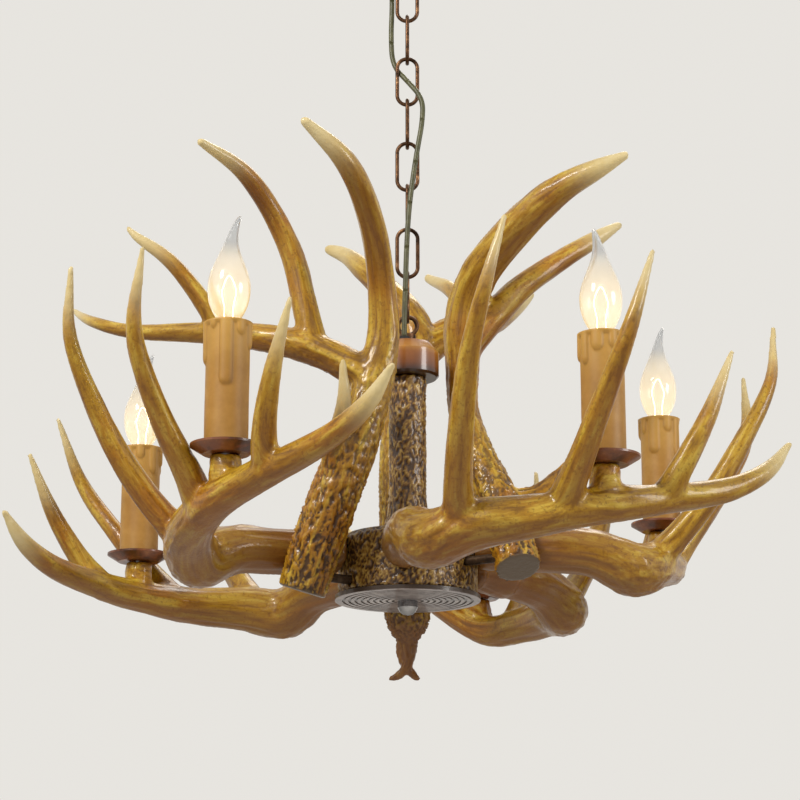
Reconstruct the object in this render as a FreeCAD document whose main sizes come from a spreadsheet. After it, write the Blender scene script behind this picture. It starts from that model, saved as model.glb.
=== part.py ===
"""Antler chandelier with five candle lamps on a chain: every piece at its real size, in millimetres.

The frame: +Z up, the origin at the middle of the ceiling bracket's top face, so that the whole lamp hangs
below it. +Y points away from someone who stands in front of the lamp, and +X to their right.
"""
import FreeCAD, Part
import Sketcher
import math
import os
from FreeCAD import Placement, Rotation, Vector

os.makedirs("parts", exist_ok=True)
doc = FreeCAD.newDocument("antler_chandelier")

# ---------------------------------------------------------------- driving sizes

SIZES = {
    "ceiling bracket": {
        "bracket_length": 100.0,
        "bracket_width": 22.0,
        "bracket_thickness": 3.0,
        "ceiling_hole_pitch": 84.0,
        "ceiling_hole_radius": 2.5,
        "canopy_screw_pitch": 62.0,
        "canopy_screw_radius": 2.0,
        "screw_head_radius": 4.0,
        "screw_head_height": 3.0,
        "screw_play": 0.15},
    "ceiling canopy": {
        "canopy_radius": 60.0,
        "canopy_height": 30.0,
        "canopy_wall": 1.5,
        "canopy_shoulder": 10.0},
    "loops that hold the chain": {
        "loop_radius": 8.5,
        "loop_wire_radius": 1.9,
        "collar_radius": 7.5,
        "collar_height": 9.0,
        "nipple_radius": 5.0,
        "nipple_play": 0.15},
    "chain": {
        "link_length": 49.8,
        "link_width": 22.5,
        "link_wire_radius": 1.8,
        "link_gap": 0.3},
    "supply cord": {
        "cord_radius": 2.4,
        "bush_radius": 5.0,
        "bush_flange": 1.5,
        "bush_height": 3.0,
        "cap_bush_x": -3.0,
        "cap_bush_y": -14.5,
        "canopy_bush_x": -18.0,
        "canopy_bush_y": 6.0,
        "cord_drop": 24.0},
    "stem and its cap": {
        "cap_radius": 28.5,
        "cap_height": 32.0,
        "cap_wall": 2.5,
        "cap_lip": 2.0,
        "stem_radius": 17.0,
        "stem_length": 146.0,
        "stem_wall": 5.0,
        "stem_flare": 7.0},
    "hub": {
        "hub_radius": 62.0,
        "hub_height": 54.0,
        "hub_wall": 6.0,
        "disc_radius": 64.5,
        "disc_thickness": 4.0,
        "ring_pitch": 5.5,
        "ring_depth": 0.8,
        "cap_nut_radius": 9.0,
        "cap_nut_height": 13.0,
        "washer_radius": 12.0,
        "washer_thickness": 2.0,
        "rod_nut_radius": 8.5,
        "rod_nut_height": 6.0},
    "wiring block": {
        "block_length": 34.0,
        "block_width": 17.0,
        "block_height": 15.0,
        "block_offset": 30.0,
        "block_bore_radius": 1.8},
    "antlers and their bolts": {
        "antler_clearance": 0.3,
        "bolt_radius": 4.0,
        "bolt_play": 0.2,
        "bolt_head_radius": 6.5,
        "bolt_head_height": 4.0,
        "lower_bolt_length": 55.0,
        "upper_bolt_length": 64.0,
        "lower_bolt_level": 31.0,
        "upper_bolt_level": 9.0,
        "right_bolt_level": 26.0},
    "candles": {
        "pedestal_radius": 12.0,
        "pedestal_height": 30.0,
        "tray_radius": 29.0,
        "tray_depth": 8.0,
        "tray_wall": 1.8,
        "sleeve_radius": 18.0,
        "sleeve_wall": 2.2,
        "sleeve_height": 107.0,
        "holder_radius": 12.5,
        "holder_recess": 4.0,
        "stud_length": 22.0},
    "bulbs": {
        "base_radius": 7.0,
        "base_height": 27.0,
        "base_play": 0.3,
        "glass_radius": 17.5,
        "glass_height": 97.0,
        "glass_wall": 0.8},
}
LINKS = 9

sheet = doc.addObject("Spreadsheet::Sheet", "Sizes")
row = 1
for group, entries in SIZES.items():
    sheet.set("A%d" % row, group)
    row += 1
    for alias, value in entries.items():
        sheet.set("A%d" % row, alias.replace("_", " "))
        sheet.set("B%d" % row, str(value))
        sheet.setAlias("B%d" % row, alias)
        row += 1
doc.recompute()


def size(alias):
    return float(sheet.get(alias))


# ---------------------------------------------------------------- derived levels and radii

levels = doc.addObject("App::FeaturePython", "Levels")


def derive(name, formula):
    """A derived length that other pieces share, bound to the sheet."""
    levels.addProperty("App::PropertyFloat", name)
    levels.setExpression(name, formula)


derive("canopy_bottom", "-Sizes.canopy_height")
derive("link_pitch", "Sizes.link_length - 4 * Sizes.link_wire_radius - Sizes.link_gap")
derive("hook", "Sizes.loop_wire_radius + Sizes.link_wire_radius + Sizes.link_gap")
derive("ring_z", "canopy_bottom - Sizes.collar_height - Sizes.loop_radius")
derive("first_link", "ring_z - Sizes.loop_radius + hook - Sizes.link_length / 2 + Sizes.link_wire_radius")
derive("last_link", "first_link - (%d - 1) * link_pitch" % LINKS)
derive("last_eye", "last_link - Sizes.link_length / 2 + Sizes.link_wire_radius")
derive("lamp_ring_z", "last_eye + hook - Sizes.loop_radius")
derive("cap_top", "lamp_ring_z - Sizes.loop_radius - Sizes.collar_height")
derive("stem_top", "cap_top - Sizes.cap_height")
derive("stem_foot", "stem_top - Sizes.stem_length")
derive("disc_top", "stem_foot - Sizes.hub_height")
derive("disc_bottom", "disc_top - Sizes.disc_thickness")
derive("nipple_bore", "Sizes.nipple_radius + Sizes.nipple_play")
derive("screw_bore", "Sizes.canopy_screw_radius + Sizes.screw_play")
derive("bolt_bore", "Sizes.bolt_radius + Sizes.bolt_play")
derive("stem_bore", "Sizes.stem_radius - Sizes.stem_wall")
derive("holder_bore", "Sizes.base_radius + Sizes.base_play")
derive("hub_bore", "Sizes.hub_radius - Sizes.hub_wall")
derive("holder_height", "Sizes.sleeve_height - Sizes.holder_recess")
derive("head_seat", "sqrt(hub_bore ^ 2 - Sizes.bolt_head_radius ^ 2) - Sizes.bolt_play")
doc.recompute()


# ---------------------------------------------------------------- helpers

exported = []


def keep(obj, label):
    """Marks an object as one sub-part, under the name of its file."""
    obj.Label = label
    exported.append(obj)
    return obj


def bind(obj, **formulas):
    """Binds properties to the sheet: a double underscore stands for a dot."""
    for name, formula in formulas.items():
        obj.setExpression(name.replace("__", "."), formula)
    return obj


def cylinder(name, radius, height, z="0", x="0", y="0"):
    solid = doc.addObject("Part::Cylinder", name)
    bind(solid, Radius=radius, Height=height)
    return bind(solid, Placement__Base__x=x, Placement__Base__y=y, Placement__Base__z=z)


def radial_cylinder(name, radius, start, length, azimuth, z):
    """A cylinder that points away from the upright axis at an azimuth, from a radius outwards."""
    solid = doc.addObject("Part::Cylinder", name)
    turn = Rotation(Vector(0, 0, 1), azimuth) * Rotation(Vector(0, 1, 0), 90)
    solid.Placement = Placement(Vector(0, 0, 0), turn)
    bind(solid, Radius=radius, Height=length)
    across = math.cos(math.radians(azimuth))
    along = math.sin(math.radians(azimuth))
    bind(solid, Placement__Base__x="(%s) * %.6f" % (start, across))
    return bind(solid, Placement__Base__y="(%s) * %.6f" % (start, along), Placement__Base__z=z)


def box(name, length, width, height, x="0", y="0", z="0"):
    """A box centred on x and y that stands on z."""
    solid = doc.addObject("Part::Box", name)
    bind(solid, Length=length, Width=width, Height=height)
    bind(solid, Placement__Base__x="%s - (%s) / 2" % (x, length))
    return bind(solid, Placement__Base__y="%s - (%s) / 2" % (y, width), Placement__Base__z=z)


def fuse(name, *solids):
    joined = doc.addObject("Part::MultiFuse", name)
    joined.Shapes = list(solids)
    return joined


def together(name, solids):
    """Separate solids that share one file."""
    compound = doc.addObject("Part::Compound", name)
    compound.Links = list(solids)
    return compound


def cut(name, base, *tools):
    """The base with every tool taken out of it."""
    result = doc.addObject("Part::Cut", name)
    result.Base = base
    result.Tool = tools[0] if len(tools) == 1 else fuse(name + "_tools", *tools)
    return result


def turned(name, outline, z="0", x="0", y="0"):
    """A turned body: outline holds (radius, height) formulas, revolved about the upright axis."""
    body = doc.addObject("PartDesign::Body", name)
    sketch = body.newObject("Sketcher::SketchObject", name + "_outline")
    plane = [p for p in body.Origin.OriginFeatures if p.Role == "XZ_Plane"][0]
    sketch.AttachmentSupport = [(plane, "")]
    sketch.MapMode = "FlatFace"
    count = len(outline)
    spots = [Vector(10 + 5 * math.cos(6.28 * i / count), 10 + 5 * math.sin(6.28 * i / count), 0)
             for i in range(count)]
    for i in range(count):
        sketch.addGeometry(Part.LineSegment(spots[i], spots[(i + 1) % count]), False)
    for i in range(count):
        sketch.addConstraint(Sketcher.Constraint("Coincident", i, 2, (i + 1) % count, 1))
    for i, (radius, height) in enumerate(outline):
        for kind, axis, formula, value in (
                ("DistanceX", -2, radius, spots[i].x), ("DistanceY", -1, height, spots[i].y)):
            if formula == "0":
                sketch.addConstraint(Sketcher.Constraint("PointOnObject", i, 1, axis))
                continue
            made = sketch.addConstraint(Sketcher.Constraint(kind, -1, 1, i, 1, value))
            label = "%s%d" % ("radius" if kind == "DistanceX" else "height", i)
            sketch.renameConstraint(made, label)
            sketch.setExpression("Constraints." + label, formula)
    turn = body.newObject("PartDesign::Revolution", name + "_turn")
    turn.Profile = sketch
    turn.ReferenceAxis = (sketch, ["V_Axis"])
    turn.Angle = 360
    return bind(body, Placement__Base__x=x, Placement__Base__y=y, Placement__Base__z=z)


def feature(name, shape, placement=None):
    """A piece whose freely curved shape is worked out in this source."""
    piece = doc.addObject("Part::Feature", name)
    piece.Shape = shape
    if placement:
        piece.Placement = placement
    return piece


# ---------------------------------------------------------------- ceiling bracket, canopy and top loop

def ceiling_bracket():
    bar = box("bar", "Sizes.bracket_length", "Sizes.bracket_width", "Sizes.bracket_thickness",
              z="-Sizes.bracket_thickness")
    bores = [cylinder("nipple_hole", "Levels.nipple_bore", "Sizes.bracket_thickness",
                      "-Sizes.bracket_thickness")]
    for side in ("-", "+"):
        bores.append(cylinder("ceiling_hole", "Sizes.ceiling_hole_radius", "Sizes.bracket_thickness",
                              "-Sizes.bracket_thickness", side + "Sizes.ceiling_hole_pitch / 2"))
        bores.append(cylinder("screw_hole", "Levels.screw_bore", "Sizes.bracket_thickness",
                              "-Sizes.bracket_thickness", side + "Sizes.canopy_screw_pitch / 2"))
    keep(cut("bracket", bar, *bores), "ceiling_bracket")


def canopy():
    shell = turned("canopy_shell", [
        ("Levels.nipple_bore", "0"),
        ("Sizes.canopy_radius - Sizes.canopy_shoulder", "0"),
        ("Sizes.canopy_radius", "Sizes.canopy_shoulder"),
        ("Sizes.canopy_radius", "Sizes.canopy_height"),
        ("Sizes.canopy_radius - Sizes.canopy_wall", "Sizes.canopy_height"),
        ("Sizes.canopy_radius - Sizes.canopy_wall", "Sizes.canopy_shoulder + Sizes.canopy_wall / 2"),
        ("Sizes.canopy_radius - Sizes.canopy_shoulder - Sizes.canopy_wall / 2", "Sizes.canopy_wall"),
        ("Levels.nipple_bore", "Sizes.canopy_wall")], "Levels.canopy_bottom")
    bores = [cylinder("canopy_screw_hole", "Levels.screw_bore", "Sizes.canopy_wall",
                      "Levels.canopy_bottom", side + "Sizes.canopy_screw_pitch / 2") for side in ("-", "+")]
    bores.append(cylinder("canopy_cord_hole", "Sizes.bush_radius - Sizes.bush_flange", "Sizes.canopy_wall",
                          "Levels.canopy_bottom", "Sizes.canopy_bush_x", "Sizes.canopy_bush_y"))
    keep(cut("canopy_drilled", shell, *bores), "canopy")
    screws = []
    for side in ("-", "+"):
        place = side + "Sizes.canopy_screw_pitch / 2"
        head = cylinder("screw_head", "Sizes.screw_head_radius", "Sizes.screw_head_height",
                        "Levels.canopy_bottom - Sizes.screw_head_height", place)
        shank = cylinder("screw_shank", "Sizes.canopy_screw_radius", "Sizes.canopy_height",
                         "Levels.canopy_bottom", place)
        screws.append(fuse("canopy_screw", head, shank))
    keep(together("canopy_screw_pair", screws), "canopy_screws")


def loop(label, ring_z, collar_z, face_on, *more):
    """A ring of bent wire on a round collar; more solids, such as a threaded nipple, join it."""
    ring = doc.addObject("Part::Torus", label + "_ring")
    ring.Placement = Placement(Vector(0, 0, 0), Rotation(Vector(1, 0, 0) if face_on else Vector(0, 1, 0), 90))
    bind(ring, Radius1="Sizes.loop_radius", Radius2="Sizes.loop_wire_radius", Placement__Base__z=ring_z)
    collar = cylinder(label + "_collar", "Sizes.collar_radius", "Sizes.collar_height", collar_z)
    return fuse(label + "_body", ring, collar, *more)


def chain_loops():
    nipple = cylinder("nipple", "Sizes.nipple_radius", "Sizes.canopy_height", "Levels.canopy_bottom")
    upper = loop("canopy_hook", "Levels.ring_z", "Levels.canopy_bottom - Sizes.collar_height",
                 LINKS % 2 == 1, nipple)
    keep(upper, "canopy_loop")
    lower = loop("lamp_hook", "Levels.lamp_ring_z", "Levels.cap_top", True)
    rod_hole = cylinder("rod_hole", "Levels.nipple_bore", "Sizes.collar_height - Sizes.loop_wire_radius",
                        "Levels.cap_top")
    keep(cut("lamp_hook_bored", lower, rod_hole), "hanging_loop")


def chain_link(number):
    """An oval link of round wire: two half rings joined by two straight bars."""
    bend = "(Sizes.link_width / 2 - Sizes.link_wire_radius)"
    straight = "(Sizes.link_length - Sizes.link_width)"
    pieces = []
    for end, tilt in (("", 90), ("-", -90)):
        arc = doc.addObject("Part::Torus", "link_arc")
        arc.Angle3 = 180
        arc.Placement = Placement(Vector(0, 0, 0), Rotation(Vector(1, 0, 0), tilt))
        bind(arc, Radius1=bend, Radius2="Sizes.link_wire_radius",
             Placement__Base__z="%s%s / 2" % (end, straight))
        pieces.append(arc)
    for side in ("", "-"):
        pieces.append(cylinder("link_bar", "Sizes.link_wire_radius", straight,
                               "-%s / 2" % straight, side + bend))
    link = fuse("link", *pieces)
    quarter = 90 if (LINKS - number) % 2 == 0 else 0
    link.Placement = Placement(Vector(0, 0, 0), Rotation(Vector(0, 0, 1), quarter))
    bind(link, Placement__Base__z="Levels.first_link - %d * Levels.link_pitch" % (number - 1))
    keep(link, "chain_link_%02d" % number)


# ---------------------------------------------------------------- supply cord and its two bushes

def bush(name, x, y, seat, side):
    """A flanged bush in a hole; the cord leaves it on the flange's side."""
    flange_z = seat if side > 0 else "%s - Sizes.bush_height" % seat
    neck_z = "%s - Sizes.cap_wall" % seat if side > 0 else seat
    neck_height = "Sizes.cap_wall" if side > 0 else "Sizes.canopy_wall"
    flange = cylinder(name + "_flange", "Sizes.bush_radius", "Sizes.bush_height", flange_z, x, y)
    neck = cylinder(name + "_neck", "Sizes.bush_radius - Sizes.bush_flange", neck_height, neck_z, x, y)
    return fuse(name + "_body", flange, neck)


# The cord's route from the cap's bush to the canopy's: x, y and the height above the cap's top.
CORD_ROUTE = [
    (-3, -14.5, 20), (-2, -15.5, 48), (-1, -15.8, 84), (1, -15.5, 122), (5, -14.5, 156), (9.5, -13.5, 186),
    (14, -12.5, 212), (14.5, -9, 236), (1, -1, 256), (-14, 8, 276), (-15.5, 7.5, 306), (-14, 6.5, 342),
    (-16, 7, 376)]


def rounded_path(points):
    """Straight runs joined by arcs as large as the runs allow."""
    edges = []
    start = points[0]
    tightest = None
    for before, corner, after in zip(points, points[1:], points[2:]):
        back = before - corner
        ahead = after - corner
        half = (math.pi - back.getAngle(ahead)) / 2
        reach = 0.45 * min(back.Length, ahead.Length)
        radius = reach / math.tan(half)
        tightest = min(radius, tightest or radius)
        back.normalize()
        ahead.normalize()
        middle = back + ahead
        middle.normalize()
        first = corner + back * reach
        last = corner + ahead * reach
        top = corner + middle * (radius / math.cos(half) - radius)
        edges.append(Part.LineSegment(start, first).toShape())
        edges.append(Part.Arc(first, top, last).toShape())
        start = last
    edges.append(Part.LineSegment(start, points[-1]).toShape())
    return Part.Wire(edges), tightest


def supply_cord():
    cap_top = levels.cap_top
    start = Vector(size("cap_bush_x"), size("cap_bush_y"), cap_top + size("bush_height"))
    finish = Vector(size("canopy_bush_x"), size("canopy_bush_y"), levels.canopy_bottom - size("bush_height"))
    points = [start]
    points += [Vector(x, y, cap_top + height) for x, y, height in CORD_ROUTE]
    points += [finish - Vector(0, 0, size("cord_drop")), finish]
    path, tightest = rounded_path(points)
    radius = size("cord_radius")
    end = Part.Wire(Part.Circle(start, Vector(0, 0, 1), radius).toShape())
    tube = path.makePipeShell([end], True, False)
    print("cord: length %.1f, tightest arc %.1f, volume over section times length %.4f"
          % (path.Length, tightest, tube.Volume / (math.pi * radius ** 2 * path.Length)))
    keep(feature("cord_tube", tube), "power_cord")


# ---------------------------------------------------------------- stem, cap, rod and hub

def stem_cap():
    shell = turned("cap_shell", [
        ("Levels.stem_bore", "0"),
        ("Sizes.cap_radius - Sizes.cap_lip", "0"),
        ("Sizes.cap_radius", "Sizes.cap_lip"),
        ("Sizes.cap_radius", "Sizes.cap_height * 0.72"),
        ("Sizes.cap_radius * 0.75", "Sizes.cap_height"),
        ("Levels.nipple_bore", "Sizes.cap_height"),
        ("Levels.nipple_bore", "Sizes.cap_height - Sizes.cap_wall"),
        ("Sizes.cap_radius * 0.75 - Sizes.cap_wall / 2", "Sizes.cap_height - Sizes.cap_wall"),
        ("Sizes.cap_radius - Sizes.cap_wall", "Sizes.cap_height * 0.72 - Sizes.cap_wall / 2"),
        ("Sizes.cap_radius - Sizes.cap_wall", "Sizes.cap_lip + Sizes.cap_wall / 2"),
        ("Sizes.cap_radius - Sizes.cap_wall - Sizes.cap_lip", "Sizes.cap_wall"),
        ("Levels.stem_bore", "Sizes.cap_wall")], "Levels.stem_top")
    cord_hole = cylinder("cap_cord_hole", "Sizes.bush_radius - Sizes.bush_flange", "Sizes.cap_wall",
                         "Levels.cap_top - Sizes.cap_wall", "Sizes.cap_bush_x", "Sizes.cap_bush_y")
    keep(cut("cap_drilled", shell, cord_hole), "stem_cap")


def stem():
    flare = "(Sizes.stem_radius + Sizes.stem_flare)"
    keep(turned("stem_tube", [
        ("Levels.stem_bore", "0"),
        (flare, "0"),
        (flare, "Sizes.stem_flare / 2"),
        ("Sizes.stem_radius + Sizes.stem_flare / 4", "Sizes.stem_flare * 2.5"),
        ("Sizes.stem_radius", "Sizes.stem_flare * 5"),
        ("Sizes.stem_radius", "Sizes.stem_length"),
        ("Levels.stem_bore", "Sizes.stem_length")], "Levels.stem_foot"), "stem")


def centre_rod():
    top = "(Levels.cap_top + Sizes.collar_height - Sizes.loop_wire_radius - 1)"
    foot = "(Levels.disc_bottom - Sizes.cap_nut_height * 0.7)"
    rod = cylinder("rod", "Sizes.nipple_radius", "%s - %s" % (top, foot), foot)
    keep(rod, "centre_rod")
    washer = cylinder("washer", "Sizes.washer_radius", "Sizes.washer_thickness", "Levels.disc_top")
    nut = cylinder("nut", "Sizes.rod_nut_radius", "Sizes.rod_nut_height",
                   "Levels.disc_top + Sizes.washer_thickness")
    parts = []
    for name, solid in (("washer", washer), ("nut", nut)):
        bore = cylinder(name + "_bore", "Levels.nipple_bore", "Sizes.washer_thickness + Sizes.rod_nut_height",
                        "Levels.disc_top")
        parts.append(cut(name + "_bored", solid, bore))
    keep(together("rod_fixings", parts), "rod_nut_and_washer")


def cap_nut():
    """The bright domed nut under the disc, bored for the rod's end."""
    keep(turned("dome_nut", [
        ("Levels.nipple_bore", "Sizes.cap_nut_height"),
        ("Levels.nipple_bore", "Sizes.cap_nut_height * 0.3 - Sizes.nipple_play"),
        ("0", "Sizes.cap_nut_height * 0.3 - Sizes.nipple_play"),
        ("0", "0"),
        ("Sizes.cap_nut_radius * 0.45", "Sizes.cap_nut_height * 0.06"),
        ("Sizes.cap_nut_radius * 0.8", "Sizes.cap_nut_height * 0.28"),
        ("Sizes.cap_nut_radius", "Sizes.cap_nut_height * 0.55"),
        ("Sizes.cap_nut_radius", "Sizes.cap_nut_height")],
        "Levels.disc_bottom - Sizes.cap_nut_height"), "cap_nut")


def ring_disc():
    """The round plate under the hub, with growth rings cut into its lower face."""
    outline = [("Levels.nipple_bore", "0")]
    first = "Sizes.washer_radius"
    for number in range(9):
        inner = "%s + %d * Sizes.ring_pitch" % (first, number)
        outline += [(inner, "0"), (inner, "Sizes.ring_depth")]
        outer = "%s + %g * Sizes.ring_pitch" % (first, number + 0.4)
        outline += [(outer, "Sizes.ring_depth"), (outer, "0")]
    outline += [("Sizes.disc_radius", "0"), ("Sizes.disc_radius", "Sizes.disc_thickness"),
                ("Levels.nipple_bore", "Sizes.disc_thickness")]
    keep(turned("rings", outline, "Levels.disc_bottom"), "ring_disc")


def hub():
    shell = turned("hub_shell", [
        ("Levels.hub_bore", "0"),
        ("Sizes.hub_radius", "0"),
        ("Sizes.hub_radius", "Sizes.hub_height - Sizes.hub_wall"),
        ("Sizes.hub_radius - Sizes.hub_wall", "Sizes.hub_height"),
        ("Levels.stem_bore", "Sizes.hub_height"),
        ("Levels.stem_bore", "Sizes.hub_height - Sizes.hub_wall"),
        ("Levels.hub_bore - Sizes.hub_wall / 2", "Sizes.hub_height - Sizes.hub_wall"),
        ("Levels.hub_bore", "Sizes.hub_height - Sizes.hub_wall * 1.5")], "Levels.disc_top")
    bores = []
    for azimuth, level, length in ANTLER_BOLTS:
        bores.append(radial_cylinder("bolt_hole", "Levels.bolt_bore", "Levels.hub_bore - Sizes.hub_wall",
                                     "Sizes.hub_wall * 3", azimuth, "Levels.disc_top + Sizes." + level))
    keep(cut("hub_drilled", shell, *bores), "hub")


def wiring_block():
    block = box("block", "Sizes.block_length", "Sizes.block_width", "Sizes.block_height",
                y="Sizes.block_offset", z="Levels.disc_top")
    bores = []
    for share in (-0.3, 0, 0.3):
        bore = doc.addObject("Part::Cylinder", "wire_hole")
        bore.Placement = Placement(Vector(0, 0, 0), Rotation(Vector(1, 0, 0), -90))
        bind(bore, Radius="Sizes.block_bore_radius", Height="Sizes.block_width",
             Placement__Base__x="Sizes.block_length * %g" % share,
             Placement__Base__y="Sizes.block_offset - Sizes.block_width / 2",
             Placement__Base__z="Levels.disc_top + Sizes.block_height / 2")
        bores.append(bore)
    keep(cut("block_drilled", block, *bores), "terminal_block")


def antler_bolts():
    bolts = []
    for azimuth, level, length in ANTLER_BOLTS:
        height = "Levels.disc_top + Sizes." + level
        head = radial_cylinder("bolt_head", "Sizes.bolt_head_radius",
                               "Levels.head_seat - Sizes.bolt_head_height",
                               "Sizes.bolt_head_height", azimuth, height)
        shank = radial_cylinder("bolt_shank", "Sizes.bolt_radius",
                                "Levels.head_seat - Sizes.bolt_head_height",
                                "Sizes.bolt_head_height + Sizes." + length, azimuth, height)
        bolts.append(fuse("bolt", head, shank))
    keep(together("bolts", bolts), "antler_bolts")


# ---------------------------------------------------------------- antlers

# Each antler is drawn in its own frame: reach outwards from the hub's side, side to the left of that
# direction as seen from above, rise above its bolt, and the radius there.
LOWER_BEAM = [
    (-3, -2, 3, 20), (53, -2, -1, 20), (101, 5, -4, 21), (136, 17, -18, 24), (154, 50, -10, 21),
    (163, 99, -4, 17.5), (157, 153, 5, 15), (136, 208, 15, 12.5), (107, 265, 30, 10), (88, 299, 50, 7.5),
    (76, 320, 75, 3)]
LOWER_TINES = [
    [(151, 40, -10, 15), (179, 39, 18, 12), (210, 41, 56, 10.5), (241, 47, 109, 8.5), (263, 59, 158, 6),
     (267, 74, 211, 2.5)],
    [(163, 119, 0, 14), (180, 132, 27, 12), (210, 149, 71, 9.5), (237, 171, 128, 7), (237, 191, 192, 2.5)],
    [(138, 208, 19, 12), (145, 222, 43, 10), (146, 243, 83, 7.5), (139, 265, 138, 2.5)]]
# The rear lower antler turns up sooner at its end, and its middle tine leans outwards.
TURNED_BEAM = LOWER_BEAM[:7] + [(140, 205, 50, 12), (118, 250, 95, 9.5), (100, 280, 140, 6), (94, 288, 160, 3)]
TURNED_TINES = [
    LOWER_TINES[0],
    [(163, 119, 0, 14), (184, 124, 27, 12), (214, 133, 71, 9.5), (242, 146, 130, 7), (258, 156, 190, 2.5)],
    [(141, 203, 48, 12), (149, 218, 76, 10), (151, 235, 114, 7.5), (147, 250, 160, 2.5)]]
CANDLE_SEAT = (156, 157, 38.2)
TWIST_AXIS_RISE = -10

# The upper left antler, the longest, with four tines.
LEFT_BEAM = [
    (48, 0, -15, 21), (40, 12, 27, 22.5), (29, 26, 74, 22), (14, 36, 122, 20), (3, 44, 170, 17.5),
    (-2, 50, 208, 14.5), (6, 59, 256, 12.5), (32, 82, 301, 11.5), (74, 107, 338, 10), (119, 111, 365, 4.5)]
LEFT_TINES = [
    [(4, 43, 170, 16), (31, 18, 193, 15), (55, -3, 205, 14), (75, -25, 213, 12.5), (110, -78, 225, 9.5),
     (148, -139, 235, 7), (167, -180, 251, 5.5), (170, -222, 273, 2.5)],
    [(42, 6, 203, 13), (48, 0, 240, 11.5), (57, -6, 285, 10.5), (78, -8, 325, 9.5), (116, 3, 353, 8),
     (165, 14, 367, 4)],
    [(98, -60, 223, 10), (118, -68, 256, 8.5), (142, -79, 287, 7), (161, -89, 303, 5.5), (176, -98, 318, 2.5)],
    [(32, 25, 70, 14), (40, 39, 105, 10), (41, 54, 140, 7), (47, 62, 177, 3)]]
# The upper right antler: a bent beam with one long tine and a low one.
RIGHT_BEAM = [
    (49, 1, -11, 20), (33, 13, 27, 19.5), (14, 23, 65, 18), (-7, 29, 105, 15.5), (-23, 34, 147, 14),
    (-27, 39, 185, 15.5), (-26, 39, 217, 18), (-19, 36, 248, 18), (-1, 28, 273, 17.5), (27, 21, 294, 16.5),
    (59, 15, 315, 15.5), (92, 15, 333, 13), (124, 18, 345, 9.5), (152, 23, 355, 4)]
RIGHT_TINES = [
    [(-26, 40, 205, 15), (-6, 56, 237, 14), (15, 75, 267, 12), (42, 106, 299, 10), (65, 133, 323, 8),
     (81, 152, 340, 4)],
    [(18, 23, 54, 13), (42, 40, 60, 10), (61, 54, 76, 8.5), (78, 67, 96, 7), (97, 81, 111, 5.5),
     (111, 92, 120, 2.5)]]
# The upper rear antler: two upper tines, and below the hub a burr that ends in two crossed root twigs.
REAR_BEAM = [
    (38, 0, -35, 8.5), (38, 0, -24, 17), (38, 0, -6, 22), (38, 2, 21, 21.5), (39, 6, 71, 20), (41, 8, 121, 19),
    (43, 6, 171, 18.5), (42, -2, 219, 18), (39, -10, 249, 17.5), (44, -4, 279, 15.5), (62, 20, 313, 13),
    (78, 42, 339, 11), (93, 61, 359, 8), (103, 79, 369, 4.5)]
REAR_TINES = [
    [(41, -8, 241, 16), (51, -45, 269, 15), (78, -78, 283, 12.5), (123, -109, 314, 8), (138, -126, 333, 3.5)],
    [(64, -60, 276, 12.5), (86, -58, 303, 10.5), (108, -44, 328, 8), (123, -34, 339, 6.5), (138, -21, 350, 4.5)]]
ROOT_TWIGS = [
    [(38, -1, -31, 8.5), (37, -2, -47, 6), (37, 2, -59, 4.8), (38, 16, -69, 2.5)],
    [(38, 1, -33, 7), (40, 5, -49, 5), (40, -1, -60, 4.5), (38, -10, -69, 2.5)]]

# Azimuths, twists about the outward direction and lifts: resin casts are turned a little by hand.
LOWER_AZIMUTHS = [-90.0, -9.5, 38.0, 121.3, -158.5]
LOWER_TWISTS = [0.0, 1.6, -10.0, -7.0, 1.6]
LOWER_LIFTS = [0.0, 8.0, 0.0, 0.0, 3.0]
REAR_ANTLER = 2
UPPER_ANTLERS = [
    (-146.0, "upper_bolt_level", [LEFT_BEAM] + LEFT_TINES),
    (-31.5, "right_bolt_level", [RIGHT_BEAM] + RIGHT_TINES),
    (90.0, "upper_bolt_level", [REAR_BEAM] + REAR_TINES + ROOT_TWIGS)]
ANTLER_BOLTS = [(azimuth, "lower_bolt_level", "lower_bolt_length") for azimuth in LOWER_AZIMUTHS]
ANTLER_BOLTS += [(azimuth, level, "upper_bolt_length") for azimuth, level, lines in UPPER_ANTLERS]
TIP_SINK = 0.3
RING_SPACING = 20.0


def smooth_line(stations):
    """Evenly spaced (point, radius) pairs on a smooth curve through the stations."""
    knots = [(Vector(*station[:3]), station[3]) for station in stations]
    spans = [(b[0] - a[0]).Length for a, b in zip(knots, knots[1:])]
    slopes = []
    for i in range(len(knots)):
        low = max(i - 1, 0)
        high = min(i + 1, len(knots) - 1)
        run = sum(spans[low:high])
        slopes.append(((knots[high][0] - knots[low][0]) / run, (knots[high][1] - knots[low][1]) / run))
    line = [knots[0]]
    for i, span in enumerate(spans):
        steps = max(1, round(span / RING_SPACING))
        for k in range(1, steps + 1):
            u = k / steps
            weights = (2 * u**3 - 3 * u**2 + 1, (u**3 - 2 * u**2 + u) * span, 3 * u**2 - 2 * u**3,
                       (u**3 - u**2) * span)
            terms = (knots[i], slopes[i], knots[i + 1], slopes[i + 1])
            point = Vector(0, 0, 0)
            radius = 0.0
            for weight, term in zip(weights, terms):
                point = point + term[0] * weight
                radius += term[1] * weight
            line.append((point, radius))
    return line


def branch(stations, extra=0.0):
    """A beam or tine: a loft through circles square to its line."""
    line = smooth_line(stations)
    rings = []
    for i, (point, radius) in enumerate(line):
        ahead = line[min(i + 1, len(line) - 1)][0] - line[max(i - 1, 0)][0]
        rings.append(Part.Wire(Part.Circle(point, ahead, radius + extra).toShape()))
    return Part.makeLoft(rings, True, False)


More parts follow.
